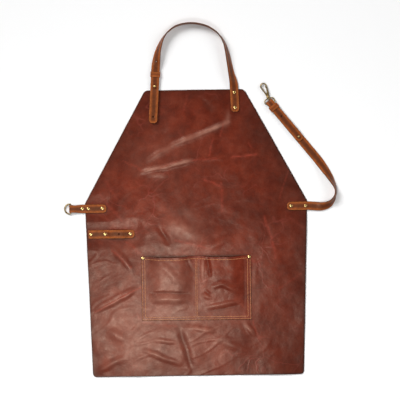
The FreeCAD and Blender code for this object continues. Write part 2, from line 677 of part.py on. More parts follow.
# The folded end, seen from the side: x runs back from the fold's tip, and the fold goes round the
# snap hook's bar.
fold_turn = size("fold_turn")
fold_plane = turned(fold_tip[0], fold_tip[1], 0, fold_turn)
fold_side = sketch_at(waist, "fold_side", fold_plane.multiply(upright()))
inner, outer = "(Sheet.eye_wire / 2 + 0.12)", "(Sheet.eye_wire / 2 + 0.12 + Sheet.fold_thick)"
mid = "Sheet.hook_height"
over_low = tail_low + " + 0.1"
over_high = over_low + " + Sheet.strap_thick"
outline(fold_side, [("Sheet.waist_flat", "Sheet.panel_thick"), ("Sheet.waist_flat", tail_low),
                    ("30", tail_low),
                    ("16.4", "4.55"), ("13.2", mid + " - " + inner), (outer, mid + " - " + inner, -1),
                    (outer, mid + " + " + inner), ("13.2", mid + " + " + inner), ("16.4", "4.95"),
                    ("30", over_low), ("Sheet.foldback", over_low), ("Sheet.foldback", over_high),
                    ("30", over_high), ("16.4", "7.6"), ("12.8", mid + " + " + outer),
                    (outer, mid + " + " + outer, 1), (outer, mid + " - " + outer),
                    ("12.8", mid + " - " + outer), ("16.4", "1.9"), ("30", "Sheet.panel_thick")])
pad(waist, fold_side, "Sheet.strap_width", centred=True)
foldback_end = place(size("foldback"), fold_turn, fold_tip)
fillet(waist, "Sheet.strap_round", lambda middle, way: standing(way) and middle.z > on_strap
       and (middle - foldback_end).Length < 20)
taper = sketch_at(waist, "fold_taper", fold_plane)
for side in ("", "-"):
    outline(taper, [("50", side + "Sheet.strap_width / 2"), ("16", side + "Sheet.fold_width / 2"),
                    ("-5", side + "Sheet.fold_width / 2"), ("-5", side + "(Sheet.strap_width / 2 + 1)"),
                    ("50", side + "(Sheet.strap_width / 2 + 1)")])
pocket(waist, taper)
flat_anchor = (size("anchor_end") + size("anchor_flat"), size("anchor_level"))
flat_fold = place(size("waist_flat"), fold_turn, fold_tip)
waist_route = [
    (flat_anchor[0], flat_anchor[1], 0, 2), (335.6, 69.4, 5, 1.4), (352.4, 69, 17, 0.5), (369.3, 73.2, 38, 0),
    (382.1, 84.5, 63, 0), (389, 99.8, 78, 0), (390.4, 113.8, 79, 0), (387.7, 125.6, 70, 0), (382, 138, 56, 0),
    (373.3, 154, 40, 0), (362, 171.5, 24, 0.4), (349.6, 189.5, 10, 1.2), (flat_fold.x, flat_fold.y, 0, 2)]
band(waist, "waist_bend", waist_route, V(1, 0, 0), place(1, fold_turn + 180, (0, 0)))
stud_spot = place(size("waist_stud_at"), fold_turn, fold_tip)
button = sketch_at(waist, "waist_button_hole", turned(stud_spot.x, stud_spot.y, 0))
circle(button, "0", "0", "Sheet.stud_neck + Sheet.hole_play * 2")
pocket(waist, button)
spare = place(57, fold_turn, fold_tip)
# this hole goes through the fold-back layer only
above_main = on_strap + 0.05
punched(waist, "waist_hole", [turned(spare.x, spare.y, above_main + 1.5 * size("strap_thick"))])

keeper_spot = place(size("waist_keeper_at"), fold_turn, fold_tip)
keeper("waist_keeper", keeper_spot.x, keeper_spot.y, fold_turn, "Sheet.strap_thick * 2 + 0.2")
stud("waist_stud", stud_spot.x, stud_spot.y, "Sheet.panel_thick", "Sheet.strap_thick * 2 + 0.3")
stud_screw("waist_stud_screw", stud_spot.x, stud_spot.y, "Sheet.panel_thick", "Sheet.strap_thick * 2")
rivet_caps("waist_rivet_caps", waist_spots, "Sheet.back_thick")
rivet_backs("waist_rivet_backs", waist_spots)


# ---- snap hook: its frame starts at the bar in the strap's fold and runs along the hook ------

bar_spot = place(size("bar_at"), fold_turn, fold_tip)
hook_frame = turned(bar_spot.x, bar_spot.y, size("hook_height"), size("hook_turn"))
along_hook = FreeCAD.Placement(V(0, 0, 0), FreeCAD.Rotation(V(0, 1, 0), 90))

eye = new_body("hook_eye", hook_frame)
eye_path = sketch_at(eye, "eye_path")
shoulder = "(Sheet.eye_half - Sheet.eye_shoulder)"
outline(eye_path, [("0", "Sheet.wire_bend - Sheet.eye_half"),
                   ("0", "Sheet.eye_half - Sheet.wire_bend", -quarter),
                   ("Sheet.wire_bend", "Sheet.eye_half"),
                   ("Sheet.eye_top - Sheet.eye_shoulder", "Sheet.eye_half", -quarter),
                   ("Sheet.eye_top", shoulder),
                   ("Sheet.eye_top", "-" + shoulder, -quarter),
                   ("Sheet.eye_top - Sheet.eye_shoulder", "-Sheet.eye_half"),
                   ("Sheet.wire_bend", "-Sheet.eye_half", -quarter)])
eye_wire = sketch_at(eye, "eye_wire_section", upright())
circle(eye_wire, "0", "0", "Sheet.eye_wire")
wire_along(eye, eye_wire, eye_path)
collar = sketch_at(eye, "eye_collar", turned(0, 0, 0, -90))
eye_inside = "Sheet.eye_top - Sheet.eye_wire / 2"
collar_start = eye_inside + " + Sheet.collar_sink"
outline(collar, [("Sheet.stem_dia / 2", collar_start), ("Sheet.collar_dia / 2", collar_start),
                 ("Sheet.collar_dia / 2", "Sheet.collar_end"), ("Sheet.stem_dia / 2", "Sheet.collar_end")])
turn(eye, collar)
bore = sketch_at(eye, "eye_bore", across(x=size("collar_end")))
circle(bore, "0", "0", "Sheet.stem_dia + Sheet.hole_play")
pocket(eye, bore, "Sheet.collar_end - Sheet.eye_top + Sheet.eye_wire", reverse=False)

stem = new_body("swivel_stem", hook_frame)
stem_profile = sketch_at(stem, "stem_profile", turned(0, 0, 0, -90))
head_top, stem_end = eye_inside + " - 0.1", "Sheet.ball_at + 0.4"
outline(stem_profile, [("0", "9.9"), ("3", "9.9"), ("3", head_top), ("Sheet.stem_dia / 2", head_top),
                       ("Sheet.stem_dia / 2", stem_end), ("0", stem_end)])
turn(stem, stem_profile)

# The hook's own points are measured from the middle of the ball at its foot.
hook = new_body("hook_body", hook_frame.multiply(turned(size("ball_at"), 0, 0)))
ball = sketch_at(hook, "hook_ball", turned(0, 0, 0, -90))
face = "(Sheet.collar_end + 0.2 - Sheet.ball_at)"
ball_radius, face_level = size("ball_dia") / 2, worked(face)
ball_arc = math.pi / 2 + math.asin(-face_level / ball_radius)
outline(ball, [("Sheet.stem_dia / 2", face),
               ("sqrt((Sheet.ball_dia / 2)^2 - %s^2)" % face, face, math.tan(ball_arc / 4)),
               ("0", "Sheet.ball_dia / 2"), ("0", "0.4"), ("Sheet.stem_dia / 2", "0.4")])
turn(hook, ball)
plate = sketch_at(hook, "hook_plate")
outline(plate, [("2", "-3.6"), ("6", "-5.4"), ("9.4", "-5.2"), ("11", "-3.4"), ("11.2", "-0.6"),
                ("12.5", "2"),
                ("12", "5.8"), ("6", "4.6"), ("2", "3.6")])
pad(hook, plate, "Sheet.hook_wire - 0.2", centred=True)
foot = V(7, 2.2, 0)
middle = V(size("hook_reach"), size("hook_side"), 0)
radius = size("hook_radius")
back_to_foot = foot - middle
lean = math.atan2(back_to_foot.y, back_to_foot.x) - math.acos(radius / back_to_foot.Length)
touch = middle + V(math.cos(lean), math.sin(lean), 0) * radius
nose_lean = -math.acos((size("nose_at") - middle.x) / radius)
nose = middle + V(math.cos(nose_lean), math.sin(nose_lean), 0) * radius
hook_path = sketch_at(hook, "hook_path")
outline(hook_path, [("7", "2.2"), ("%.4f" % touch.x, "%.4f" % touch.y, -math.tan((lean - nose_lean) / 4)),
                    ("%.4f" % nose.x, "%.4f" % nose.y)], closed=False)
way_up = math.degrees(math.atan2(touch.y - foot.y, touch.x - foot.x))
hook_wire = sketch_at(hook, "hook_wire_section", turned(foot.x, foot.y, 0, way_up).multiply(across()))
circle(hook_wire, "0", "0", "Sheet.hook_wire")
wire_along(hook, hook_wire, hook_path)
pin_hole = sketch_at(hook, "hook_pin_hole")
circle(pin_hole, "Sheet.pivot_at", "Sheet.pivot_side", "Sheet.pin_dia")
pocket(hook, pin_hole)

# The gate is a fork over the plate that runs out to the nose, with a lip behind the nose.
gate_turn = math.degrees(math.atan2(nose.y - size("pivot_side"), nose.x - size("pivot_at")))
gate = new_body("hook_gate", hook_frame.multiply(turned(size("ball_at"), 0, 0)))
pivot_plane = turned(size("pivot_at"), size("pivot_side"), 0, gate_turn)
bar = sketch_at(gate, "gate_bar", pivot_plane)
gate_end = "%.3f" % ((nose - V(size("pivot_at"), size("pivot_side"), 0)).Length - 0.7)
outline(bar, [("0", "-Sheet.gate_width"), (gate_end, "-Sheet.gate_width / 2"),
              (gate_end, "Sheet.gate_width / 2"),
              ("6", "Sheet.gate_width / 2"), ("0", "Sheet.gate_width", 1)])
pad(gate, bar, "Sheet.gate_thick", centred=True)
lip = sketch_at(gate, "gate_lip")
outline(lip, [("25.5", "-4.9"), ("27.6", "-4.4"), ("28.4", "-3.6"), ("31", "-4.1"), ("31", "-2.9"),
              ("27", "-2.4"),
              ("24", "-3.2")])
pad(gate, lip, "Sheet.gate_thick - 2", centred=True)
fork = sketch_at(gate, "gate_fork", pivot_plane)
outline(fork, [("-4", "-4"), ("5.6", "-4"), ("5.6", "4"), ("-4", "4")])
pocket(gate, fork, "Sheet.hook_wire + Sheet.hole_play", centred=True)
gate_hole = sketch_at(gate, "gate_hole")
circle(gate_hole, "Sheet.pivot_at", "Sheet.pivot_side", "Sheet.pin_dia + Sheet.hole_play")
pocket(gate, gate_hole)

pin_spot = turned(size("ball_at") + size("pivot_at"), size("pivot_side"), 0)
pin = new_body("gate_pin", hook_frame.multiply(pin_spot))
pin_profile = sketch_at(pin, "pin_profile", upright())
head = "(Sheet.gate_thick / 2 + 0.05)"
outline(pin_profile, [("0", "-%s - 0.5" % head), ("1.7", "-%s - 0.5" % head), ("1.7", "-" + head),
                      ("Sheet.pin_dia / 2", "-" + head), ("Sheet.pin_dia / 2", head), ("1.7", head),
                      ("1.7", head + " + 0.5"), ("0", head + " + 0.5")])
turn(pin, pin_profile)


# ---- check and write -----------------------------------------------------------------

doc.recompute()
for item in doc.Objects:
    if "Invalid" in item.State or "Error" in item.State:
        raise ValueError(item.Label + " failed: " + str(item.State))
pieces = [item for item in doc.Objects if item.TypeId == "PartDesign::Body"]
pieces += [item for item in doc.Objects if item.TypeId == "Part::Feature"]
for piece in pieces:
    shape = piece.Shape
    if shape.isNull() or not shape.isValid() or not shape.Solids:
        raise ValueError(piece.Label + " has no valid solid")
    shape.exportStep("parts/%s.step" % piece.Label)
    box = shape.BoundBox
    print("%-26s solids %3d  x %7.1f..%7.1f  y %7.1f..%7.1f  z %5.2f..%5.2f"
          % (piece.Label, len(shape.Solids), box.XMin, box.XMax, box.YMin, box.YMax, box.ZMin, box.ZMax))
print(len(pieces), "nodes")
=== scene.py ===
import bisect
import math

import bmesh
import bpy
from mathutils import Matrix, Vector, noise


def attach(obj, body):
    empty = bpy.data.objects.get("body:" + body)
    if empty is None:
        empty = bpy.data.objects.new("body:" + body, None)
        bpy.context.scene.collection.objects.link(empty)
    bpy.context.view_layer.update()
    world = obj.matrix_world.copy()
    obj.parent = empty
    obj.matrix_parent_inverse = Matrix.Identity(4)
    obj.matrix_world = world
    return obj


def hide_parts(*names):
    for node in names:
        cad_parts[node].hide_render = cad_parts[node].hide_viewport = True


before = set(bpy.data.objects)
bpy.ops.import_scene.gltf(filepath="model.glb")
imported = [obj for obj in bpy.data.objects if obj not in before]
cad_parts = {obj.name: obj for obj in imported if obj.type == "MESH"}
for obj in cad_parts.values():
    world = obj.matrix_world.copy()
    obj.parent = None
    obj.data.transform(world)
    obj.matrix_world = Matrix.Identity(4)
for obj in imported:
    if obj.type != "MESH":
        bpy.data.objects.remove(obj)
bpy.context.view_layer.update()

mm = 0.001
up = Vector((0, 0, 1))
collection = bpy.context.scene.collection
print("frame loaded:", len(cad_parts), "nodes")


# camera straight above, floor and lights
stage = {"target": (0.0112, 0.0914), "height": 4.0, "across": 1.12, "roll": -0.85, "floorHalf": 4.0}

cameraData = bpy.data.cameras.new("camera")
cameraData.lens = cameraData.sensor_width * stage["height"] / stage["across"]
camera = bpy.data.objects.new("camera", cameraData)
camera.location = (*stage["target"], stage["height"])
camera.rotation_euler = (0, 0, math.radians(stage["roll"]))
collection.objects.link(camera)
bpy.context.scene.camera = camera
bpy.context.scene.view_settings.view_transform = "Standard"


def addLight(name, kind, place, aim, energy, size):
    data = bpy.data.lights.new(name, kind)
    data.energy = energy
    if kind == "SUN":
        data.angle = math.radians(size)
    else:
        data.shape = "DISK"
        data.size = size
    light = bpy.data.objects.new(name, data)
    light.location = place
    light.rotation_euler = (Vector(aim) - Vector(place)).to_track_quat("-Z", "Y").to_euler()
    collection.objects.link(light)


addLight("key", "SUN", (-1.7, 1.6, 2.2), (0, 0, 0), 2.75, 30)
addLight("fill", "SUN", (1.8, 0.4, 1.4), (0, 0, 0), 0.85, 35)
addLight("lowSheen", "AREA", (-0.19, -0.42, 1.6), (-0.13, -0.27, 0), 9.5, 0.32)

world = bpy.data.worlds.new("studio")
world.use_nodes = True
world.node_tree.nodes["Background"].inputs["Color"].default_value = (1, 1, 1, 1)
world.node_tree.nodes["Background"].inputs["Strength"].default_value = 0.11
bpy.context.scene.world = world


# small helpers for the materials
class Finish:
    # a material with a Principled shader, and short ways to add its patterns
    def __init__(self, name, roughness=0.5, metallic=0.0):
        self.material = bpy.data.materials.new(name)
        self.material.use_nodes = True
        self.nodes = self.material.node_tree.nodes
        self.links = self.material.node_tree.links
        self.shader = self.nodes["Principled BSDF"]
        self.shader.inputs["Roughness"].default_value = roughness
        self.shader.inputs["Metallic"].default_value = metallic
        self.place = self.nodes.new("ShaderNodeTexCoord").outputs["Object"]

    def put(self, socket, value):
        if isinstance(value, bpy.types.NodeSocket):
            self.links.new(value, socket)
        elif hasattr(value, "__len__"):
            socket.default_value = (*value, 1)
        else:
            socket.default_value = value

    def cloud(self, scale, detail=4, rough=0.55, warp=0.0, vector=None):
        node = self.nodes.new("ShaderNodeTexNoise")
        node.inputs["Scale"].default_value = scale
        node.inputs["Detail"].default_value = detail
        node.inputs["Roughness"].default_value = rough
        node.inputs["Distortion"].default_value = warp
        self.links.new(vector or self.place, node.inputs["Vector"])
        return node.outputs["Fac"]

    def cells(self, scale, feature="F1", vector=None):
        node = self.nodes.new("ShaderNodeTexVoronoi")
        node.feature = feature
        node.inputs["Scale"].default_value = scale
        self.links.new(vector or self.place, node.inputs["Vector"])
        return node.outputs["Distance"]

    def attribute(self, name):
        node = self.nodes.new("ShaderNodeAttribute")
        node.attribute_name = name
        return node.outputs["Fac"]

    def ramp(self, value, stops):
        node = self.nodes.new("ShaderNodeValToRGB")
        elements = node.color_ramp.elements
        while len(elements) < len(stops):
            elements.new(0.5)
        for element, (at, colour) in zip(elements, stops):
            element.position = at
            element.color = (*colour, 1) if hasattr(colour, "__len__") else (colour, colour, colour, 1)
        self.links.new(value, node.inputs["Fac"])
        return node.outputs["Color"]

    def mix(self, share, first, second, way="MIX"):
        node = self.nodes.new("ShaderNodeMix")
        node.data_type = "RGBA"
        node.blend_type = way
        self.put(node.inputs["Factor"], share)
        self.put(node.inputs[6], first)
        self.put(node.inputs[7], second)
        return node.outputs[2]

    def sum(self, operation, first, second=0.0, clamp=False):
        node = self.nodes.new("ShaderNodeMath")
        node.operation = operation
        node.use_clamp = clamp
        self.put(node.inputs[0], first)
        self.put(node.inputs[1], second)
        return node.outputs[0]

    def bump(self, height, strength, distance, under=None):
        node = self.nodes.new("ShaderNodeBump")
        node.inputs["Strength"].default_value = strength
        node.inputs["Distance"].default_value = distance
        self.links.new(height, node.inputs["Height"])
        if under is not None:
            self.links.new(under, node.inputs["Normal"])
        return node.outputs["Normal"]

    def finish(self, colour, roughness=None, normal=None):
        self.put(self.shader.inputs["Base Color"], colour)
        if roughness is not None:
            self.put(self.shader.inputs["Roughness"], roughness)
        if normal is not None:
            self.links.new(normal, self.shader.inputs["Normal"])
        return self.material


def makeApronLeather():
    # waxed pull-up leather: mottled, paler where it was bent and with painted sheen on crests and patches,
    # painted shade in hollows, round the border and towards the right, redder in its old creases
    f = Finish("apronLeather")
    f.shader.inputs["Specular IOR Level"].default_value = 0.34
    f.shader.inputs["Specular Tint"].default_value = (1.0, 0.74, 0.58, 1)
    mottle = f.cloud(26, 7, 0.62, 0.4)
    base = f.ramp(mottle, [(0.30, (0.092, 0.0092, 0.0034)), (0.50, (0.128, 0.0152, 0.0058)),
                           (0.72, (0.172, 0.0262, 0.0115))])
    broad = f.ramp(f.cloud(5.5, 2, 0.5), [(0.3, 0.76), (0.7, 1.14)])
    base = f.mix(1.0, base, broad, "MULTIPLY")
    patch = f.ramp(f.cloud(13, 4, 0.6, 0.8), [(0.32, 0.84), (0.68, 1.16)])
    base = f.mix(1.0, base, patch, "MULTIPLY")
    speck = f.ramp(f.cloud(340, 3, 0.6), [(0.35, 0.88), (0.65, 1.10)])
    base = f.mix(1.0, base, speck, "MULTIPLY")
    # a web of thin crease marks that comes and goes
    warp = f.nodes.new("ShaderNodeVectorMath")
    warp.operation = "MULTIPLY_ADD"
    colourNoise = f.nodes.new("ShaderNodeTexNoise")
    colourNoise.inputs["Scale"].default_value = 14
    f.links.new(f.place, colourNoise.inputs["Vector"])
    f.links.new(colourNoise.outputs["Color"], warp.inputs[0])
    warp.inputs[1].default_value = (0.09, 0.09, 0.09)
    f.links.new(f.place, warp.inputs[2])
    web = f.cells(13, "DISTANCE_TO_EDGE", warp.outputs[0])
    webLine = f.ramp(web, [(0.0, 1.0), (0.028, 0.0)])
    webMask = f.ramp(f.cloud(7, 3, 0.6), [(0.47, 0.0), (0.66, 0.75)])
    webShare = f.mix(1.0, webLine, webMask, "MULTIPLY")
    base = f.mix(webShare, base, (0.230, 0.038, 0.026))
    # painted sheen mixed with the paler wear of bent leather, on the crests and in patches
    rubPatch = f.ramp(f.cloud(48, 6, 0.6), [(0.25, 0.45), (0.75, 1.25)])
    rubShare = f.sum("MULTIPLY", f.attribute("rub"), rubPatch, True)
    base = f.mix(rubShare, base, (0.360, 0.160, 0.112))
    scarPatch = f.ramp(f.cloud(150, 6, 0.7, 0.8), [(0.36, 0.1), (0.58, 1.0)])
    scarShare = f.sum("MULTIPLY", f.attribute("scar"), scarPatch, True)
    base = f.mix(scarShare, base, (0.320, 0.046, 0.026))
    # darkening: the dyed cut edge, plus painted shade in the hollows, round the border, towards the right and
    # in the pockets' mouths
    base = f.mix(f.attribute("edgeAndShade"), base, (0.030, 0.0085, 0.0055))
    rough = f.ramp(f.cloud(60, 5, 0.6), [(0.3, 0.28), (0.7, 0.40)])
    grain = f.cells(620)
    pores = f.cloud(1500, 3, 0.6)
    normal = f.bump(grain, 0.22, 0.00025)
    normal = f.bump(pores, 0.18, 0.00015, normal)
    normal = f.bump(f.cloud(70, 4, 0.55), 0.32, 0.0016, normal)
    normal = f.bump(webShare, 0.25, 0.0006, normal)
    return f.finish(base, rough, normal)


def makeFleshSide():
    # the raw back of the hide
    f = Finish("fleshSide", 0.92)
    f.shader.inputs["Sheen Weight"].default_value = 0.25
    f.shader.inputs["Sheen Roughness"].default_value = 0.5
    f.shader.inputs["Specular IOR Level"].default_value = 0.25
    colour = f.ramp(f.cloud(60, 8, 0.7), [(0.3, (0.135, 0.062, 0.038)), (0.7, (0.235, 0.118, 0.076))])
    colour = f.mix(1.0, colour, f.ramp(f.cloud(8, 2), [(0.3, 0.85), (0.7, 1.1)]), "MULTIPLY")
    normal = f.bump(f.cloud(900, 6, 0.75), 0.6, 0.0005)
    normal = f.bump(f.cloud(130, 4, 0.6), 0.3, 0.0008, normal)
    return f.finish(colour, None, normal)


def makeCutEdge():
    # dyed and slicked edge
    f = Finish("cutEdge", 0.42)
    colour = f.ramp(f.cloud(500, 4), [(0.3, (0.022, 0.008, 0.005)), (0.7, (0.060, 0.022, 0.013))])
    return f.finish(colour, None, f.bump(f.cloud(1400, 3), 0.3, 0.0002))


def makeStrapLeather():
    # strap butt: slicked dark edge, a creased line inside it, orange shoulders and a darker middle
    f = Finish("strapLeather")
    f.shader.inputs["Specular IOR Level"].default_value = 0.36
    f.shader.inputs["Specular Tint"].default_value = (1.0, 0.70, 0.48, 1)
    uv = f.nodes.new("ShaderNodeUVMap")
    uv.uv_map = "strip"
    parts = f.nodes.new("ShaderNodeSeparateXYZ")
    f.links.new(uv.outputs["UV"], parts.inputs[0])
    wobble = f.sum("MULTIPLY", f.sum("SUBTRACT", f.cloud(160, 4, 0.6), 0.5), 0.0022)
    inset = f.sum("ADD", parts.outputs["Y"], wobble)
    inset = f.sum("DIVIDE", inset, 0.012, True)
    base = f.ramp(inset, [(0.00, (0.060, 0.016, 0.006)), (0.05, (0.095, 0.026, 0.009)),
                          (0.10, (0.420, 0.112, 0.022)), (0.16, (0.370, 0.095, 0.018)),
                          (0.20, (0.100, 0.026, 0.008)), (0.25, (0.330, 0.082, 0.016)),
                          (0.42, (0.215, 0.050, 0.011)), (0.75, (0.105, 0.024, 0.007))])
    mottle = f.ramp(f.cloud(75, 7, 0.65, 0.6), [(0.28, 0.66), (0.72, 1.34)])
    base = f.mix(1.0, base, mottle, "MULTIPLY")
    streak = f.ramp(f.cloud(900, 3, 0.6), [(0.3, 0.85), (0.7, 1.15)])
    base = f.mix(1.0, base, streak, "MULTIPLY")
    groove = f.ramp(inset, [(0.155, 1.0), (0.19, 0.0), (0.205, 0.0), (0.24, 1.0)])
    normal = f.bump(groove, 0.8, 0.0006)
    normal = f.bump(f.cells(1050), 0.2, 0.0002, normal)
    normal = f.bump(f.cloud(190, 4), 0.25, 0.0006, normal)
    rough = f.ramp(f.cloud(110, 4), [(0.3, 0.36), (0.7, 0.52)])
    return f.finish(base, rough, normal)


def makeThread():
    f = Finish("thread", 0.6)
    f.shader.inputs["Sheen Weight"].default_value = 0.2
    colour = f.ramp(f.cloud(700, 4), [(0.3, (0.48, 0.165, 0.045)), (0.7, (0.76, 0.310, 0.100))])
    return f.finish(colour, None, f.bump(f.cloud(2600, 3), 0.5, 0.0002))


def makeBrass():
    f = Finish("brass", 0.25, 1.0)
    colour = f.ramp(f.cloud(240, 5, 0.6), [(0.30, (0.42, 0.27, 0.09)), (0.62, (0.80, 0.58, 0.24))])
    rough = f.ramp(f.cloud(420, 4), [(0.3, 0.20), (0.7, 0.38)])
    return f.finish(colour, rough, f.bump(f.cloud(700, 4), 0.12, 0.0002))


def makeAntiqueBrass():
    # brass darkened all over and rubbed bright in places
    f = Finish("antiqueBrass", 0.35, 1.0)
    colour = f.ramp(f.cloud(190, 6, 0.65), [(0.34, (0.085, 0.058, 0.028)), (0.50, (0.30, 0.205, 0.088)),
                                            (0.68, (0.56, 0.41, 0.19))])
    rough = f.ramp(f.cloud(300, 4), [(0.3, 0.26), (0.7, 0.50)])
    return f.finish(colour, rough, f.bump(f.cloud(800, 4), 0.2, 0.0003))


apronLeather, fleshSide, cutEdge = makeApronLeather(), makeFleshSide(), makeCutEdge()
strapLeather, thread = makeStrapLeather(), makeThread()
brass, antiqueBrass = makeBrass(), makeAntiqueBrass()

floorMesh = bpy.data.meshes.new("floor")
floorBm = bmesh.new()
bmesh.ops.create_grid(floorBm, x_segments=1, y_segments=1, size=stage["floorHalf"])
bmesh.ops.translate(floorBm, verts=floorBm.verts, vec=(0, 0, -0.0004))
floorBm.to_mesh(floorMesh)
floorBm.free()
floor = bpy.data.objects.new("floor", floorMesh)
collection.objects.link(floor)
paper = Finish("paper", 0.9)
paper.shader.inputs["Specular IOR Level"].default_value = 0.1
floorMesh.materials.append(paper.finish((0.93, 0.93, 0.93)))
print("camera, lights and materials ready")


# helpers for shapes
def ease(share):
    share = min(1.0, max(0.0, share))
    return share * share * (3 - 2 * share)


def newPiece(name, bm, materials, body, nodes):
    mesh = bpy.data.meshes.new(name)
    bm.to_mesh(mesh)
    bm.free()
    for material in materials:
        mesh.materials.append(material)
    mesh.shade_smooth()
    piece = bpy.data.objects.new(name, mesh)
    collection.objects.link(piece)
    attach(piece, body)
    if nodes:
        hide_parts(*nodes)
    return piece


def applyAll(piece):
    # leave the modifiers' result as the piece's own mesh
    seen = piece.evaluated_get(bpy.context.evaluated_depsgraph_get())
    made = bpy.data.meshes.new_from_object(seen)
    old = piece.data
    piece.modifiers.clear()
    piece.data = made
    bpy.data.meshes.remove(old)


def roundedEdge(inset, radius, least=0.3):
    # share of the full thickness at a distance from the cut edge
    if inset >= radius:
        return 1.0
    return max(least, math.sqrt(max(0.0, 1 - (1 - inset / radius) ** 2)))


def leatherGrid(name, columns, rows, layOut, thick, materials, body, nodes, closed=False, extras=()):
    # a grid whose vertices layOut puts in place, then thickened about its middle surface
    # layOut(column, row) gives the place in mm, the inset from the edge, the length along and thickness share
    bm = bmesh.new()
    bmesh.ops.create_grid(bm, x_segments=columns - 1, y_segments=rows - 1, size=1)
    uvLayer = bm.loops.layers.uv.new("strip")
    weights = bm.verts.layers.deform.verify()
    floats = [bm.verts.layers.float.new(extra) for extra in extras]
    facts = {}
    for vert in bm.verts:
        column = round((vert.co.x + 1) / 2 * (columns - 1))
        row = round((vert.co.y + 1) / 2 * (rows - 1))
        place, inset, along, share, values = layOut(column, row)
        vert.co = Vector(place) * mm
        vert[weights][0] = share
        facts[vert] = (along * mm, inset * mm)
        for layer, value in zip(floats, values):
            vert[layer] = value
    for face in bm.faces:
        for loop in face.loops:
            loop[uvLayer].uv = facts[loop.vert]
    if closed:
        bmesh.ops.remove_doubles(bm, verts=bm.verts, dist=1e-6)
    piece = newPiece(name, bm, materials, body, nodes)
    piece.vertex_groups.new(name="thick")
    wall = piece.modifiers.new("wall", "SOLIDIFY")
    wall.thickness = thick * mm
    wall.offset = 0
    wall.vertex_group = "thick"
    if len(materials) > 1:
        wall.material_offset = 1
        wall.material_offset_rim = 2
    applyAll(piece)
    return piece


# how the panel lies: soft waves, ridges and old creases, in mm
panel = {
    "length": 800, "topHalf": 139, "waistHalf": 311, "hemHalf": 295, "waistLevel": 86, "thick": 2.0,
    "topCorner": 13, "hemCorner": 10, "step": 3.45, "calmMargin": 34,
    # waves of three sizes, then small slanting creases: height and size of each, with the wear and painted
    # sheen on the creases' crests
    "wave": 3.2, "waveSize": 150, "ripple": 1.1, "rippleSize": 52, "crumple": 0.45, "crumpleSize": 21,
    "crease": 0.8, "creaseSize": 105, "creaseReach": 0.13, "creaseWearAndSheen": 0.14, "patchSize": 95,
    # how far the red crease marks wander, then the painted shadow in the pockets' mouths: strength and reach
    "scarWander": 3.5, "scarWanderSize": 26, "mouthShade": 0.85, "mouthShadeReach": 4,
    # flat places under the hardware and the pocket: left, right, low, high
    "calm": [(98, 128, 330, 402), (-130, -98, 300, 402), (250, 320, 57, 85), (-320, -248, 57, 85),
             (-306, -170, -14, 13), (-157, 153, -247, -62)],
    # ridges: from x, y to x, y, half width, height, wear and painted sheen on the crest
    "ridges": [(-134, 206, -54, 250, 11, 1.3, 0.30), (-60, 248, 14, 276, 10, 2.0, 0.60),
               (8, 273, 92, 307, 9, 2.4, 0.90), (92, 300, 94, 338, 12, 1.3, 0.30),
               (-150, 174, -82, 185, 7, 2.2, 0.90), (-86, 184, -10, 203, 8, 2.3, 0.90),
               (-130, 165, -80, 163, 8, 0.8, 0.30), (14, 204, 90, 207, 5, 0.5, 0.0),
               (-288, -219, -158, -150, 10, 2.0, 0.25), (-82, 33, 10, -12, 20, 1.8, 0.35),
               (-106, 18, -72, -34, 10, -1.4, 0.0), (20, 372, 50, 336, 14, -1.3, 0.0),
               (-56, -252, -14, -388, 12, -1.5, 0.0), (-30, -262, 40, -276, 8, 1.8, 0.55),
               (-150, -328, -54, -366, 8, 1.7, 0.30), (-120, -300, -66, -306, 7, 1.4, 0.4),
               (128, -252, 158, -288, 7, 1.8, 0.60), (60, -300, 130, -330, 16, 1.3, 0.05),
               (-232, -40, -186, -98, 10, 1.6, 0.15), (22, -60, 90, -12, 12, 0.9, 0.1),
               (158, -150, 162, -90, 9, 1.3, 0.25), (-20, -258, -6, -246, 10, 1.4, 0.4),
               (-250, -270, -200, -300, 18, 1.5, 0.05), (-280, -380, -200, -345, 12, 1.2, 0.1)],
    # redder marks of old creases: from x, y to x, y, half width, strength
    "scars": [(102, 210, 170, 216, 1.6, 0.9), (-10, 203, 60, 206, 1.6, 0.6), (189, 41, 214, -30, 2.2, 0.7),
              (212, -30, 221, -72, 2.2, 0.7), (-288, -219, -158, -150, 1.6, 0.6),
              (-238, -44, -186, -98, 1.8, 0.5),
              (50, 262, 38, 216, 1.8, 0.5), (24, 148, 68, 130, 2.4, 0.6), (70, 136, 74, 60, 3.2, 0.4),
              (-150, -250, -60, -262, 1.8, 0.3), (160, -84, 150, -72, 3.0, 0.6),
              (154, -252, 172, -300, 2.2, 0.5),
              (232, 90, 262, 176, 1.5, 0.45), (258, 40, 300, 10, 2.0, 0.35), (228, -160, 290, -120, 1.8, 0.4),
              (-202, 205, -150, 176, 1.6, 0.5), (-270, 110, -210, 40, 2.6, 0.35),
              (-250, 150, -222, 96, 2.2, 0.3),
              (-36, 206, -120, 175, 1.4, 0.4), (70, 268, 78, 300, 2.0, 0.4), (-60, -20, 40, -46, 2.0, 0.5),
              (-150, -60, -196, -24, 2.0, 0.4), (-30, 340, -22, 380, 2.2, 0.25),
              (150, 250, 158, 236, 1.5, 0.4)],
    # paler places, partly worn by bending and partly painted sheen: x, y, radius, strength
    "paleWearAndSheen": [(-40, 12, 60, 0.20), (-150, -290, 120, 0.26), (-240, -220, 90, 0.14), (20, -290, 80, 0.18),
             (150, -180, 26, 0.22), (-90, 220, 90, 0.10), (-160, 190, 30, 0.08), (-30, -100, 60, 0.12),
             (-210, -60, 60, 0.10)],
}


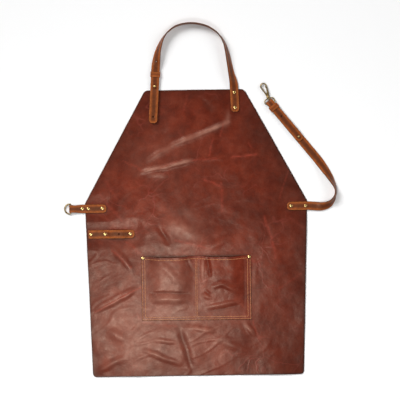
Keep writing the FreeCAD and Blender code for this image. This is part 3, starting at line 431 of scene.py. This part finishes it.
# the pocket's sizes and folds, in mm
bag = {
    "width": 307, "height": 180, "middle": -2.3, "top": -64.5, "thick": 1.6, "seat": 2.0,
    "bulge": 6.0, "flange": 11, "divider": 10, "sag": 4.2, "step": 3.0,
    # folds: from x, y to x, y, half width, height, wear and painted sheen on the crest
    "ridges": [(17, -70, 12, -136, 6, 3.2, 0.62), (31, -70, 35, -116, 6, -2.4, 0.0),
               (5, -76, 5, -122, 4, -1.8, 0.0),
               (-140, -167, -14, -170, 4, -2.0, 0.0), (-138, -186, -18, -188, 12, 2.0, 0.26),
               (4, -226, 114, -205, 5, -2.6, 0.0), (10, -213, 116, -193, 7, 2.4, 0.22),
               (8, -176, 34, -182, 8, 2.0, 0.32), (36, -176, 20, -160, 5, -1.4, 0.0),
               (-30, -76, -12, -106, 6, -1.8, 0.0), (60, -140, 112, -166, 9, 1.6, 0.06),
               (-100, -84, -50, -140, 16, 1.4, 0.12), (-18, -204, -70, -222, 6, 1.6, 0.15),
               (131, -76, 134, -236, 4, -2.6, 0.0), (40, -152, 92, -140, 8, 1.0, 0.05)],
    # paler places, partly worn and partly painted sheen: x, y, radius, strength
    "paleWearAndSheen": [(-80, -110, 62, 0.34), (-80, -205, 60, 0.34), (16, -105, 14, 0.20), (60, -200, 50, 0.12)],
    "pucker": 0.28, "puckerPitch": 8.0,
}
bagSpan = bag["width"] / 2 - bag["divider"] / 2 - bag["flange"]


def toSegment(x, y, ax, ay, bx, by):
    # distance to a line from a to b, and how far along it the nearest point is
    dx, dy = bx - ax, by - ay
    at = min(1.0, max(0.0, ((x - ax) * dx + (y - ay) * dy) / (dx * dx + dy * dy)))
    return math.hypot(x - ax - at * dx, y - ay - at * dy), at


def calmShare(x, y):
    # 0 on the flat places, up to 1 away from them
    nearest = panel["calmMargin"]
    for left, right, low, high in panel["calm"]:
        aside = math.hypot(max(left - x, 0, x - right), max(low - y, 0, y - high))
        nearest = min(nearest, aside)
    return ease(nearest / panel["calmMargin"])


fold = {"wander": 2.5, "wanderSize": 30, "gain": 1.9, "spread": 0.75, "crestBandSpread": 0.6, "shade": 0.30,
        "ends": 0.3}


def ridgeSum(x, y, ridges):
    # height, wear with painted sheen on the crests, and painted shade in the hollows
    height, rub, dark = 0.0, 0.0, 0.0
    size = fold["wanderSize"]
    x += fold["wander"] * noise.noise(Vector((x / size, y / size, 9.1)))
    y += fold["wander"] * noise.noise(Vector((x / size, y / size, 4.7)))
    for ax, ay, bx, by, half, rise, wornAndSheen in ridges:
        away, at = toSegment(x, y, ax, ay, bx, by)
        if away < 3 * half:
            fade = fold["ends"] + 0.7 * math.sin(math.pi * at)
            crestBand = math.exp(-(away / (fold["crestBandSpread"] * half)) ** 2)
            height += fold["gain"] * rise * fade * math.exp(-(away / (fold["spread"] * half)) ** 2)
            rub += wornAndSheen * fade * crestBand
            # painted shade in the hollows of inward folds
            if rise < 0:
                dark += fold["shade"] * min(1.0, -rise) * fade * crestBand
    return height, rub, dark


def panelLift(x, y):
    calm = calmShare(x, y)
    if calm <= 0:
        return 0.0, 0.0, 0.0
    height, rub, dark = ridgeSum(x, y, panel["ridges"])
    spot = Vector((x, y, 0))
    wave = panel["wave"] * (0.55 + noise.noise(spot / panel["waveSize"] + Vector((3.1, 7.7, 0.4))))
    wave += panel["ripple"] * noise.noise(spot / panel["rippleSize"] + Vector((1.3, 5.2, 2.9)))
    wave += panel["crumple"] * noise.noise(spot / panel["crumpleSize"] + Vector((8.3, 0.2, 4.4)))
    # small creases along the zero lines of a slanting noise, more of them lower down, with wear and painted
    # sheen on their crests
    slant = Vector((0.9 * x + 0.43 * y, (0.9 * y - 0.43 * x) * 3.2, 40)) / panel["creaseSize"]
    crest = max(0.0, 1 - abs(noise.noise(slant)) / panel["creaseReach"])
    share = ease(0.4 + 1.6 * noise.noise(spot / panel["patchSize"] + Vector((2.2, 6.1, 5.3))))
    share *= (0.3 + 0.7 * ease((120 - y) / 240)) * (1 - 0.6 * ease((x - 20) / 160))
    wave += panel["crease"] * share * crest * crest * (3 - 2 * crest)
    rub += panel["creaseWearAndSheen"] * share * crest * crest
    return calm * max(0.0, wave + height), rub, dark


def panelHalf(y):
    # half the panel's width at a level, with its rounded corners
    half = panel["length"] / 2
    if y > panel["waistLevel"]:
        share = (y - panel["waistLevel"]) / (half - panel["waistLevel"])
        wide = panel["waistHalf"] + share * (panel["topHalf"] - panel["waistHalf"])
        corner, gap = panel["topCorner"], half - y
        reach = corner * 0.58  # the corner's arc starts this far below the top edge
    else:
        share = (y + half) / (half + panel["waistLevel"])
        wide = panel["hemHalf"] + share * (panel["waistHalf"] - panel["hemHalf"])
        corner, gap = panel["hemCorner"], y + half
        reach = corner
    if gap < reach:
        wide -= (corner * 0.62 if y > 0 else corner) * (1 - math.sqrt(max(0.0, 1 - (1 - gap / reach) ** 2)))
    return wide


def spread(low, high, step, edges):
    # distances from low to high, close together near both ends
    inner = [low + edge for edge in edges] + [high - edge for edge in reversed(edges)]
    start, stop = low + edges[-1], high - edges[-1]
    count = max(1, math.ceil((stop - start) / step))
    middle = [start + (stop - start) * number / count for number in range(1, count)]
    return inner[:len(edges)] + middle + inner[len(edges):]


def buildPanel():
    half = panel["length"] / 2
    levels = spread(-half, half, panel["step"], (0, 0.4, 1.1, 2.2, 4.0, 6.5, 10.0))
    count = round(2 * panel["waistHalf"] / panel["step"])
    edges = (0, 0.45, 1.2, 2.4)
    columns = count + 2 * len(edges) - 1

    def layOut(column, row):
        y = levels[row]
        wide = panelHalf(y)
        if column < len(edges):
            x = edges[column] - wide
        elif column >= columns - len(edges):
            x = wide - edges[columns - 1 - column]
        else:
            inner = wide - edges[-1]
            x = inner * (2 * (column - len(edges) + 1) / (columns - 2 * len(edges) + 1) - 1)
        inset = min(wide - abs(x), half - abs(y))
        lift, rub, dark = panelLift(x, y)
        # paler patches: worn places and painted sheen
        paleWearAndSheen = sum(strength * math.exp(-((x - px) ** 2 + (y - py) ** 2) / radius ** 2)
                   for px, py, radius, strength in panel["paleWearAndSheen"])
        scar, size = 0.0, panel["scarWanderSize"]
        for ax, ay, bx, by, width, strength in panel["scars"]:
            bend = panel["scarWander"] * noise.noise(Vector((x / size, y / size, ax)))
            away, at = toSegment(x + bend, y + bend, ax, ay, bx, by)
            if away < 4 * width:
                scar = max(scar, strength * math.exp(-(away / (1.5 * width)) ** 2))
        # darker at the dyed cut edge, with painted shade round the border, towards the right and in the
        # hollows
        edgeAndShade = 0.65 * math.exp(-inset / 2.2) + 0.32 * math.exp(-inset / 26)
        edgeAndShade += 0.30 * ease((x - 40) / 240) + dark
        if abs(x - bag["middle"]) < bag["width"] / 2 - bag["flange"]:  # painted shadow inside the pockets' mouths
            edgeAndShade += panel["mouthShade"] * math.exp(-((y - bag["top"] + 2) / panel["mouthShadeReach"]) ** 2)
        share = roundedEdge(inset, 1.0)
        values = (min(1, rub + paleWearAndSheen), min(1, scar), edgeAndShade)
        return (x, y, lift + panel["thick"] / 2), inset, y + half, share, values

    piece = leatherGrid("panel_leather", columns, len(levels), layOut, panel["thick"],
                        [apronLeather, fleshSide, cutEdge], "apron", ["apron_panel"],
                        extras=("rub", "scar", "edgeAndShade"))
    return piece


panelPiece = buildPanel()
print("panel laid")


# the pocket: one sheet sewn down at its sides, foot and middle
def bagDown(y):
    return (bag["top"] - y) / bag["height"]


def bagShape(x, y):
    # 0 on the seams, up to 1 in the middle of each pocket
    aside = abs(x - bag["middle"]) - bag["divider"] / 2
    across = ease(min(aside, bagSpan - aside) / (0.34 * bagSpan))
    down = bagDown(y)
    length = 1 - 0.3 * ease(down / 0.6) - 0.7 * ease((down - 0.45) / 0.5)
    return across * max(0.0, length)


def bagLift(x, y):
    # how far the sheet's underside stands off the panel, and how worn it is
    shape = bagShape(x, y)
    height, rub, dark = ridgeSum(x, y, bag["ridges"])
    height += 0.7 * noise.noise(Vector((x / 34, y / 34, 6.1)))
    height += 0.35 * noise.noise(Vector((x / 13, y / 13, 2.2)))
    soft = min(1.0, 2.2 * shape)
    aside = abs(x - bag["middle"]) - bag["divider"] / 2
    seamGap = max(0.0, min(aside, bagSpan - aside, (1 - bagDown(y)) * bag["height"] - bag["flange"]))
    pucker = bag["pucker"] * math.exp(-seamGap / 6) * math.sin(2 * math.pi * (y + x) / bag["puckerPitch"])
    lift = bag["bulge"] * shape + soft * height + min(1, seamGap / 3) * pucker
    return max(0.0, lift), rub, dark


def buildBag():
    half = bag["width"] / 2
    edges = (0, 0.4, 1.0, 2.0)
    acrossStops = spread(-half, half, bag["step"], edges)
    downStops = spread(0, bag["height"], bag["step"], edges)

    def layOut(column, row):
        x = bag["middle"] + acrossStops[column]
        down = bag["height"] - downStops[row]
        y = bag["top"] - down
        inset = min(half - abs(acrossStops[column]), down, bag["height"] - down)
        lift, rub, dark = bagLift(x, y)
        sag = bag["sag"] * bagShape(x, bag["top"]) * math.exp(-down / 40)
        # paler patches: worn places and painted sheen
        paleWearAndSheen = sum(strength * math.exp(-((x - px) ** 2 + (y - py) ** 2) / radius ** 2)
                   for px, py, radius, strength in bag["paleWearAndSheen"])
        # threads pull the rows down into the leather
        rows = [abs(half - abs(acrossStops[column]) - 2.5), abs(half - abs(acrossStops[column]) - 10)]
        pull = 0.25 * math.exp(-(min(rows) / 1.2) ** 2)
        # dark dyed cut edge, plus painted shade in the hollows of the folds
        edgeAndShade = 0.55 * math.exp(-inset / 1.2) + dark
        share = roundedEdge(inset, 0.8)
        height = bag["seat"] + bag["thick"] / 2 + lift - pull * share
        return (x, y - sag, height), inset, y, share, (min(1, rub + paleWearAndSheen), 0.0, edgeAndShade)

    return leatherGrid("pocket_leather", len(acrossStops), len(downStops), layOut, bag["thick"],
                       [apronLeather, fleshSide, cutEdge], "apron", ["pocket_panel"],
                       extras=("rub", "scar", "edgeAndShade"))


pocketPiece = buildBag()


# saddle stitches: one short plump stitch, repeated along each row
sewing = {"pitch": 4.0, "long": 3.5, "wide": 1.3, "dividerWide": 0.95, "slant": 7, "plump": 0.45,
          "edgeRow": 2.5, "innerRow": 10, "hemRow": 8, "hemEnd": 10.8, "dividerGap": 4, "topGap": 10,
          "reach": 1.2}


def sewRow(bm, start, end, wide):
    reach = Vector((end[0] - start[0], end[1] - start[1], 0))
    count = int(reach.length // sewing["pitch"])
    heading = math.atan2(reach.y, reach.x)
    for number in range(count):
        spot = Vector((start[0], start[1], 0)) + reach * ((number + 0.5) / count)
        sag = bag["sag"] * bagShape(spot.x, bag["top"]) * math.exp(-bagDown(spot.y) * bag["height"] / 40)
        lift = bagLift(spot.x, spot.y)[0]
        ahead = reach.normalized() * sewing["reach"]
        slope = bagLift(spot.x + ahead.x, spot.y + ahead.y)[0]
        slope -= bagLift(spot.x - ahead.x, spot.y - ahead.y)[0]
        top = bag["seat"] + bag["thick"] + lift + 0.05
        place = (Matrix.Translation(Vector((spot.x, spot.y - sag, top)) * mm)
                 @ Matrix.Rotation(heading + math.radians(sewing["slant"]), 4, "Z")
                 @ Matrix.Rotation(-math.atan2(slope, 2 * sewing["reach"]), 4, "Y")
                 @ Matrix.Diagonal((sewing["long"] / 2 * mm, wide / 2 * mm,
                                    sewing["plump"] * mm, 1)))
        bmesh.ops.create_uvsphere(bm, u_segments=6, v_segments=5, radius=1,
                                  matrix=place @ Matrix.Rotation(math.pi / 2, 4, "Y"))


def buildSewing():
    middle, top, foot = bag["middle"], bag["top"], bag["top"] - bag["height"]
    rows = {}
    for name, inset, low in (("edge", sewing["edgeRow"], sewing["edgeRow"]),
                             ("inner", sewing["innerRow"], sewing["innerRow"] - 1)):
        left, right = middle - bag["width"] / 2 + inset, middle + bag["width"] / 2 - inset
        rows[name] = [((left, top - sewing["topGap"]), (left, foot + low)),
                      ((left, foot + low), (right, foot + low)),
                      ((right, foot + low), (right, top - sewing["topGap"]))]
    hemHalf = bag["width"] / 2 - sewing["hemEnd"]
    hemLevel = top - sewing["hemRow"]
    rows["hem"] = [((middle - hemHalf, hemLevel), (middle + hemHalf, hemLevel))]
    rows["divider"] = [((middle + side * sewing["dividerGap"] / 2, hemLevel - 3),
                        (middle + side * sewing["dividerGap"] / 2, foot + sewing["innerRow"] + 1))
                       for side in (-1, 1)]
    pieces = []
    for name, lines in rows.items():
        bm = bmesh.new()
        for start, end in lines:
            sewRow(bm, start, end, sewing["dividerWide"] if name == "divider" else sewing["wide"])
        pieces.append(newPiece("%s_stitches" % name, bm, [thread], "apron",
                               ["pocket_%s_stitching" % name]))
    return pieces


stitchPieces = buildSewing()
print("pocket sewn on")


# straps: a middle line with the direction across it at each point, then a band laid along it
strap = {"wide": 24, "thick": 3.0, "round": 10, "edges": (0, 0.3, 0.9, 1.7, 2.6, 4.2, 7.0), "step": 3.4,
         "fine": (0, 0.35, 1.0, 2.0, 3.4, 5.0, 7.0, 10.0)}


def smoothLine(points, step=1.2):
    # more points along a smooth curve through those given
    spots = [Vector(point) for point in points]
    ways = []
    for number in range(len(spots)):
        before, after = spots[max(0, number - 1)], spots[min(len(spots) - 1, number + 1)]
        ways.append((after - before) / ((after - spots[number]).length + (spots[number] - before).length))
    line = []
    for number in range(len(spots) - 1):
        a, b = spots[number], spots[number + 1]
        span = (b - a).length
        count = max(1, math.ceil(span / step))
        for part in range(count):
            t = part / count
            line.append(a * (2 * t ** 3 - 3 * t ** 2 + 1) + b * (3 * t ** 2 - 2 * t ** 3)
                        + ways[number] * span * (t ** 3 - 2 * t ** 2 + t)
                        + ways[number + 1] * span * (t ** 3 - t ** 2))
    line.append(spots[-1])
    return line


def planLine(route, wide, thick):
    # a strap that rolls as it goes: route is x, y, roll in degrees and the height of its lowest edge
    line = smoothLine([(x, y, 0) for x, y, roll, low in route])
    marks = [0.0]
    for a, b in zip(line, line[1:]):
        marks.append(marks[-1] + (b - a).length)
    stops, poses = [], []
    for x, y, roll, low in route:
        near = min(range(len(line)), key=lambda k: (line[k] - Vector((x, y, 0))).length)
        stops.append(marks[near])
        poses.append((roll, low))
    stations = []
    for number, spot in enumerate(line):
        at = marks[number]
        k = min(len(stops) - 2, max(0, bisect.bisect_right(stops, at) - 1))
        share = ease((at - stops[k]) / max(1e-6, stops[k + 1] - stops[k])) * 0.35
        share += 0.65 * (at - stops[k]) / max(1e-6, stops[k + 1] - stops[k])
        roll = math.radians(poses[k][0] + share * (poses[k + 1][0] - poses[k][0]))
        low = poses[k][1] + share * (poses[k + 1][1] - poses[k][1])
        way = (line[min(number + 1, len(line) - 1)] - line[max(0, number - 1)]).normalized()
        outward = way.cross(up)
        middle = spot + up * (low + (wide * math.sin(roll) + thick * math.cos(roll)) / 2)
        stations.append((middle, up * math.sin(roll) - outward * math.cos(roll)))
    return stations


def sideLine(start, turn, points):
    # a strap bent in its own upright plane: points are distance along turn, height of its middle
    way = Vector((math.cos(math.radians(turn)), math.sin(math.radians(turn)), 0))
    line = smoothLine([(s, z, 0) for s, z in points], 0.8)
    return [(Vector((start[0], start[1], 0)) + way * spot.x + up * spot.y, way) for spot in line]


def bandPiece(name, stations, body, nodes, halfAt, thickAt, thick, roundStart=True, roundEnd=True,
              closed=False, edges=None, step=None):
    marks = [0.0]
    for (a, _), (b, _) in zip(stations, stations[1:]):
        marks.append(marks[-1] + (b - a).length)
    length = marks[-1]
    edges = edges or strap["edges"]
    rows = marks if closed else spread(0, length, step or strap["step"], strap["fine"])
    columns = 2 * len(edges) + 1

    def layOut(column, row):
        at = rows[row]
        k = min(len(marks) - 2, max(0, bisect.bisect_right(marks, at) - 1))
        if closed:
            k, share = (row, 0.0) if row < len(stations) - 1 else (row - 1, 1.0)
        else:
            share = (at - marks[k]) / max(1e-9, marks[k + 1] - marks[k])
        spot = stations[k][0].lerp(stations[k + 1][0], share)
        side = stations[k][1].lerp(stations[k + 1][1], share).normalized()
        full = half = halfAt(at, length)
        endGap = length
        if not closed:
            radius = strap["round"]
            for isRound, gap in ((roundStart, at), (roundEnd, length - at)):
                endGap = min(endGap, gap)
                if isRound and gap < radius:
                    half = min(half, full - radius + math.sqrt(max(0.0, radius ** 2 - (radius - gap) ** 2)))
        place = column if column < len(edges) else columns - 1 - column
        offset = edges[place] * half / full if place < len(edges) else half
        inset = min(offset if place < len(edges) else half, endGap if not closed else full)
        sign = -1 if column < len(edges) else 1
        aside = sign * (half - offset) if place < len(edges) else 0.0
        share = roundedEdge(inset, 1.0, 0.35) * thickAt(at, length) / thick
        return spot + side * aside, inset, at, share, ()

    return leatherGrid(name, columns, len(rows), layOut, thick, [strapLeather], body, nodes,
                       closed)


def plainHalf(at, length):
    return strap["wide"] / 2


def plainThick(at, length):
    return strap["thick"]


def from2d(start, turn, along):
    angle = math.radians(turn)
    return start[0] + along * math.cos(angle), start[1] + along * math.sin(angle)


def punch(piece, spots, diameter=4.0, depth=9.0):
    # round holes square to the leather: each spot is a place in mm and the direction through it
    bm = bmesh.new()
    for place, through in spots:
        turn = Vector(through).to_track_quat("Z", "Y").to_matrix().to_4x4()
        # turned a little off the leather's own lines, so that the cut closes
        turn = turn @ Matrix.Rotation(math.radians(4), 4, "Z")
        bmesh.ops.create_cone(bm, cap_ends=True, segments=24, radius1=diameter / 2 * mm,
                              radius2=diameter / 2 * mm, depth=depth * mm,
                              matrix=Matrix.Translation(Vector(place) * mm) @ turn)
    for face in bm.faces:  # the cut shows the piece's last material
        face.material_index = len(piece.data.materials) - 1
    mesh = bpy.data.meshes.new("punch")
    bm.to_mesh(mesh)
    bm.free()
    cutter = bpy.data.objects.new("punch", mesh)
    collection.objects.link(cutter)
    cut = piece.modifiers.new("punch", "BOOLEAN")
    cut.operation = "DIFFERENCE"
    cut.solver = "EXACT"
    cut.object = cutter
    applyAll(piece)
    bpy.data.objects.remove(cutter)


neck = {
    "right": (113.6, 336.6), "rightTurn": 92.3, "rightFlat": 66, "left": (-110.7, 410.6), "leftTurn": 86.4,
    "flat": 52, "shortSpots": (-64, 0, 45), "keeperAt": 33.6,
    "loop": [(110.3, 414, 14, 1.4), (108, 427, 32, 0.6), (104, 443.5, 46, 0), (101, 460, 52, 0),
             (97.8, 477, 57, 0), (94.8, 494, 62, 0), (91, 511, 68, 0), (86, 528, 75, 0), (77, 545, 82, 0),
             (61.5, 562, 88, 0), (34, 578, 90, 0), (-7, 585.6, 90, 0), (-46, 579, 90, 0), (-70.5, 563, 87, 0),
             (-84.3, 546.5, 78, 0), (-92.5, 530, 66, 0), (-98.8, 513, 53, 0.1), (-102.8, 496.5, 40, 0.8),
             (-105.4, 480, 22, 2.8)],
    # tail: distance below the stud, height of the underside
    "rise": [(-8, 5.0), (-16, 7.2), (-50, 7.3), (-103, 7.2)], "holes": [17, 19], "tipHole": -85,
    "tailMiddle": 8.7,
}


def neckRight(along):
    return from2d(neck["right"], neck["rightTurn"], along)


def neckLeft(along):
    return from2d(neck["left"], neck["leftTurn"], along)


def buildNeck():
    route = [(*neckRight(along), 0, 2) for along in (0, 33, neck["rightFlat"])] + neck["loop"]
    route += [(*neckLeft(neck["flat"]), 0, 5), (*neckLeft(22), 0, 5)]
    route += [(*neckLeft(along), 0, low) for along, low in neck["rise"]]
    stations = planLine(route, strap["wide"], strap["thick"])
    piece = bandPiece("neck_strap_leather", stations, "apron", ["neck_strap"], plainHalf, plainThick,
                      strap["thick"])
    spots = [((*neckLeft(neck["tipHole"]), neck["tailMiddle"]), (0, 0, 1))]
    for number in neck["holes"]:
        x, y = neck["loop"][number - 1][:2]
        k = min(range(len(stations)), key=lambda n: (stations[n][0].xy - Vector((x, y))).length)
        way = (stations[k + 1][0] - stations[k - 1][0]).normalized()
        spots.append((stations[k][0], way.cross(stations[k][1])))
    punch(piece, spots)
    route = [(*neckLeft(along), 0, 2) for along in neck["shortSpots"]]
    shortLine = planLine(route, strap["wide"], strap["thick"])
    bandPiece("neck_short_leather", shortLine, "apron", ["neck_short_strap"], plainHalf, plainThick,
              strap["thick"])


keeper = {"wall": 1.6, "aside": 1.0, "low": 1.0, "above": 3.0, "bend": 1.7, "crown": 0.35, "halfLong": 7.5,
          "edges": (0, 0.25, 0.7, 1.4, 2.2, 3.4)}


def buildKeeper(name, body, spot, turn, stack):
    # a loop of thin leather round two straps; stack is their height
    wall, half = keeper["wall"], strap["wide"] / 2 + keeper["aside"]
    low, high, bend = keeper["low"], stack + keeper["above"], keeper["bend"]
    way = Vector((math.cos(math.radians(turn)), math.sin(math.radians(turn)), 0))
    side = up.cross(way)
    ring = []
    for cornerX, cornerZ, first in ((half - bend, low + bend, -90), (half - bend, high - bend, 0),
                                    (bend - half, high - bend, 90), (bend - half, low + bend, 180)):
        angles = [math.radians(first + 15 * part) for part in range(7)]
        ring += [(cornerX + bend * math.cos(angle), cornerZ + bend * math.sin(angle)) for angle in angles]
        if first == 0:  # the top is slightly crowned
            ring += [((half - bend) * (1 - part / 4), high + keeper["crown"] * math.sin(math.pi * part / 8))
                     for part in range(1, 8)]
    ring.append(ring[0])
    centre = Vector((spot[0], spot[1], 0))
    stations = [(centre + side * x + up * z, way) for x, z in ring]
    bandPiece(name + "_leather", stations, body, [name], lambda at, length: keeper["halfLong"],
              lambda at, length: wall, wall, closed=True, edges=keeper["edges"])


buildNeck()
buildKeeper("neck_keeper", "neck_keeper", neckLeft(neck["keeperAt"]), neck["leftTurn"], 2 * strap["thick"])
print("neck strap done")


# waist strap with its folded end round the snap hook's bar
waist = {
    "start": (253.9, 71), "flat": 64, "tip": (206.8, 366), "turn": -50.8,
    "bend": [(335.6, 69.4, 5, 1.4), (352.4, 69, 17, 0.5), (369.3, 73.2, 38, 0), (382.1, 84.5, 63, 0),
             (389, 99.8, 78, 0), (390.4, 113.8, 79, 0), (387.7, 125.6, 70, 0), (382, 138, 56, 0),
             (373.3, 154, 40, 0), (362, 171.5, 24, 0.4), (349.6, 189.5, 10, 1.2)],
    # the fold: distance back from the tip and height of the leather's middle
    "under": [(205, 3.5), (160, 3.5), (100, 3.5), (45, 3.5), (30, 3.5), (22, 3.35), (16, 3.05), (12.5, 2.3),
              (9, 1.85)],
    "loop": (4.12, 4.7, 2.92), "over": [(9, 7.55), (12.5, 7.4), (17, 6.95), (24, 6.65), (32, 6.6), (60, 6.6),
                                        (100, 6.6), (143, 6.6)],
    "narrow": 20.5, "narrowThick": 2.4, "spareHole": 57, "spareMiddle": 9.55,
    # where the fold starts, how far its own curve adds to the leather, and the keeper's place and stack
    "foldStart": 160, "foldExtra": 0.5, "keeperAt": 24, "keeperStack": 6.2, "studAt": 131,
}


def waistBack(along):
    # a spot on the folded strap, back from its tip
    return from2d(waist["tip"], waist["turn"], along)


def buildWaist():
    start = waist["start"]
    route = [(start[0] + along, start[1], 0, 2) for along in (0, 30, waist["flat"])]
    route += waist["bend"]
    route.append((*waistBack(205), 0, 2))
    route.append((*waistBack(190), 0, 2))
    plan = planLine(route, strap["wide"], strap["thick"])
    cx, cz, radius = waist["loop"]
    arc = [(cx - radius * math.sin(math.radians(a)), cz - radius * math.cos(math.radians(a)))
           for a in range(0, 181, 20)]
    path = [point for point in waist["under"] if point[0] < 185] + arc + waist["over"]
    way = Vector((math.cos(math.radians(waist["turn"])), math.sin(math.radians(waist["turn"])), 0))
    fold = [(place, up.cross(-way)) for place, _ in sideLine(waist["tip"], waist["turn"], path)]
    stations = plan + fold
    foldStart = sum((b[0] - a[0]).length for a, b in zip(plan, stations[1:]))
    tipAt = foldStart + waist["foldStart"] + waist["foldExtra"]  # the fold's tip, along the leather

    def half(at, length):
        away = abs(at - tipAt)
        return strap["wide"] / 2 - (strap["wide"] - waist["narrow"]) / 2 * (1 - ease((away - 16) / 34))

    def thick(at, length):
        away = abs(at - tipAt)
        return waist["narrowThick"] + (strap["thick"] - waist["narrowThick"]) * ease((away - 12) / 16)

    piece = bandPiece("waist_strap_leather", stations, "apron", ["waist_strap"], half, thick, strap["thick"],
                      step=2.0)
    punch(piece, [((*waistBack(waist["spareHole"]), waist["spareMiddle"]), (0, 0, 1))])
    buildKeeper("waist_keeper", "waist_keeper", waistBack(waist["keeperAt"]), waist["turn"],
                waist["keeperStack"])


buildWaist()
print("waist strap done")


# ring tab: folded round the D ring's bar, and the tool strip with its raised span
tab = {"bar": (-350.5, 71.3), "loop": (0, 4.55, 3.35),
       "over": [(99.8, 3.5), (80, 3.5), (60, 3.5), (45, 3.5), (41, 3.6), (36, 4.1), (30, 4.2), (26, 4.4),
                (19, 5.4), (12, 6.7), (6, 7.6)],
       "under": [(7, 1.2), (20, 1.2), (36.4, 1.2)]}
strip = {"start": (-302.4, -0.6),
         "path": [(0, 3.5), (20, 3.5), (40, 3.5), (50, 3.6), (55, 4.5), (61, 7.9), (67, 9.5), (75, 9.95),
                  (81, 10), (88, 9.9), (96, 9.4), (102, 7.8), (107, 4.8), (112, 3.6), (119, 3.5),
                  (129.3, 3.5)],
         "hole": 85.9}


def buildTab():
    cx, cz, radius = tab["loop"]
    arc = [(cx - radius * math.sin(math.radians(a)), cz + radius * math.cos(math.radians(a)))
           for a in range(0, 181, 20)]
    path = tab["over"] + arc + tab["under"]
    stations = [(place, Vector((0, -1, 0))) for place, _ in sideLine(tab["bar"], 0, path)]

    def half(at, length):
        return 12 - 1.75 * ease((at - 68) / 24)

    def thick(at, length):
        return 3.0 - 0.6 * ease((at - 70) / 14)

    return bandPiece("ring_tab_leather", stations, "apron", ["ring_tab"], half, thick, strap["thick"],
                     roundEnd=False, step=1.8)


def buildStrip():
    stations = [(place, Vector((0, 1, 0))) for place, _ in sideLine(strip["start"], 0, strip["path"])]
    piece = bandPiece("tool_strip_leather", stations, "apron", ["tool_strip"], plainHalf, plainThick,
                      strap["thick"], roundStart=False, step=2.4)
    punch(piece, [((strip["start"][0] + strip["hole"], strip["start"][1], 10), (0, 0, 1))])


tabPiece = buildTab()
buildStrip()
print("ring tab and tool strip done")


# turned hardware: domed rivet caps and the two ball studs
rivet = {"cap": 4.5, "rise": 1.9, "shank": 1.5, "seat": 0.6, "socket": 8.2, "socketDepth": 1.64,
         "socketMiddle": -0.2, "tabSocketX": -318.5}
rivetSpots = {
    "neck": [(*neckRight(12), 5), (*neckRight(54.3), 5), (*neckLeft(-22), 5), (*neckLeft(-52), 5)],
    "waist": [(265.4, 71, 5), (306.3, 71, 5)],
    "tab": [(-262.2, 71.3, 5), (-301.9, 71.3, 5), (rivet["tabSocketX"], 71.3, 5.7)],
    "strip": [(-295.4, -0.6, 5), (-256, -0.6, 5), (-185.1, -0.6, 5)],
    "pocket": [(-151.0, -69.3, 3.6), (146.4, -69.3, 3.6)],
}
studShape = {"neck": 2.3, "ball": 4.0, "halfHigh": 3.0, "under": 2.6, "neckGrip": 3.2, "waistGrip": 6.3}


def spinProfile(bm, profile, steps=32):
    # profile is radius and height in mm, from the axis at the bottom to the axis at the top
    verts = [bm.verts.new((radius * mm, 0, height * mm)) for radius, height in profile]
    edges = [bm.edges.new(pair) for pair in zip(verts, verts[1:])]
    bmesh.ops.spin(bm, geom=verts + edges, cent=(0, 0, 0), axis=(0, 0, 1), angle=2 * math.pi, steps=steps,
                   use_merge=True)
    bmesh.ops.remove_doubles(bm, verts=bm.verts, dist=1e-6)
    bmesh.ops.recalc_face_normals(bm, faces=bm.faces)


def turnedPiece(name, profileAt, spots, material, body, nodes):
    whole = bmesh.new()
    for x, y, top in spots:
        bm = bmesh.new()
        spinProfile(bm, profileAt(top))
        bmesh.ops.translate(bm, verts=bm.verts, vec=Vector((x, y, 0)) * mm)
        mesh = bpy.data.meshes.new("turned")
        bm.to_mesh(mesh)
        bm.free()
        whole.from_mesh(mesh)
        bpy.data.meshes.remove(mesh)
    newPiece(name, whole, [material], body, nodes)


def capProfile(top):
    cap, rise, shank = rivet["cap"], rivet["rise"], rivet["shank"]
    dome = [(cap * math.cos(math.radians(a)), top + 0.35 + (rise - 0.35) * math.sin(math.radians(a)))
            for a in range(0, 90, 11)]
    return ([(0, rivet["seat"]), (shank, rivet["seat"]), (shank, top), (cap - 0.25, top), (cap, top + 0.12)]
            + dome + [(0, top + rise)])


for name, spots in rivetSpots.items():
    turnedPiece("%s_rivets" % name, capProfile, spots, brass, "apron", ["%s_rivet_caps" % name])

# sockets underneath, where the rivets' back caps sit flush
sockets = [((x, y, rivet["socketMiddle"]), (0, 0, 1)) for spots in rivetSpots.values() for x, y, top in spots]
tabSocket = sockets.pop([place[0] for place, through in sockets].index(rivet["tabSocketX"]))
punch(panelPiece, sockets, rivet["socket"], rivet["socketDepth"])
punch(tabPiece, [tabSocket], rivet["socket"], rivet["socketDepth"])


def studProfile(seat, grip):
    ball, stem, high = studShape["ball"], studShape["neck"], studShape["halfHigh"]
    centre = seat + grip + high
    globe = [(ball * math.cos(math.radians(a)), centre + high * math.sin(math.radians(a)))
             for a in range(-56, 85, 11)]
    return [(0, seat), (stem, seat), (stem, centre - studShape["under"])] + globe + [(0, centre + high)]


turnedPiece("neck_stud_ball", lambda seat: studProfile(seat, studShape["neckGrip"]), [(*neck["left"], 5)],
            brass, "apron", ["neck_stud"])
turnedPiece("waist_stud_ball", lambda seat: studProfile(seat, studShape["waistGrip"]),
            [(*waistBack(waist["studAt"]), 2)], antiqueBrass, "apron", ["waist_stud"])
print("rivets and studs done")


# what stays from the CAD gets its finish
antique = ("d_ring", "hook_eye", "hook_body", "hook_gate", "gate_pin", "swivel_stem")
for name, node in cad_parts.items():
    if node.hide_render:
        continue
    material = antiqueBrass if name in antique else brass
    node.data.materials.clear()
    node.data.materials.append(material)
    print("kept", name, material.name)
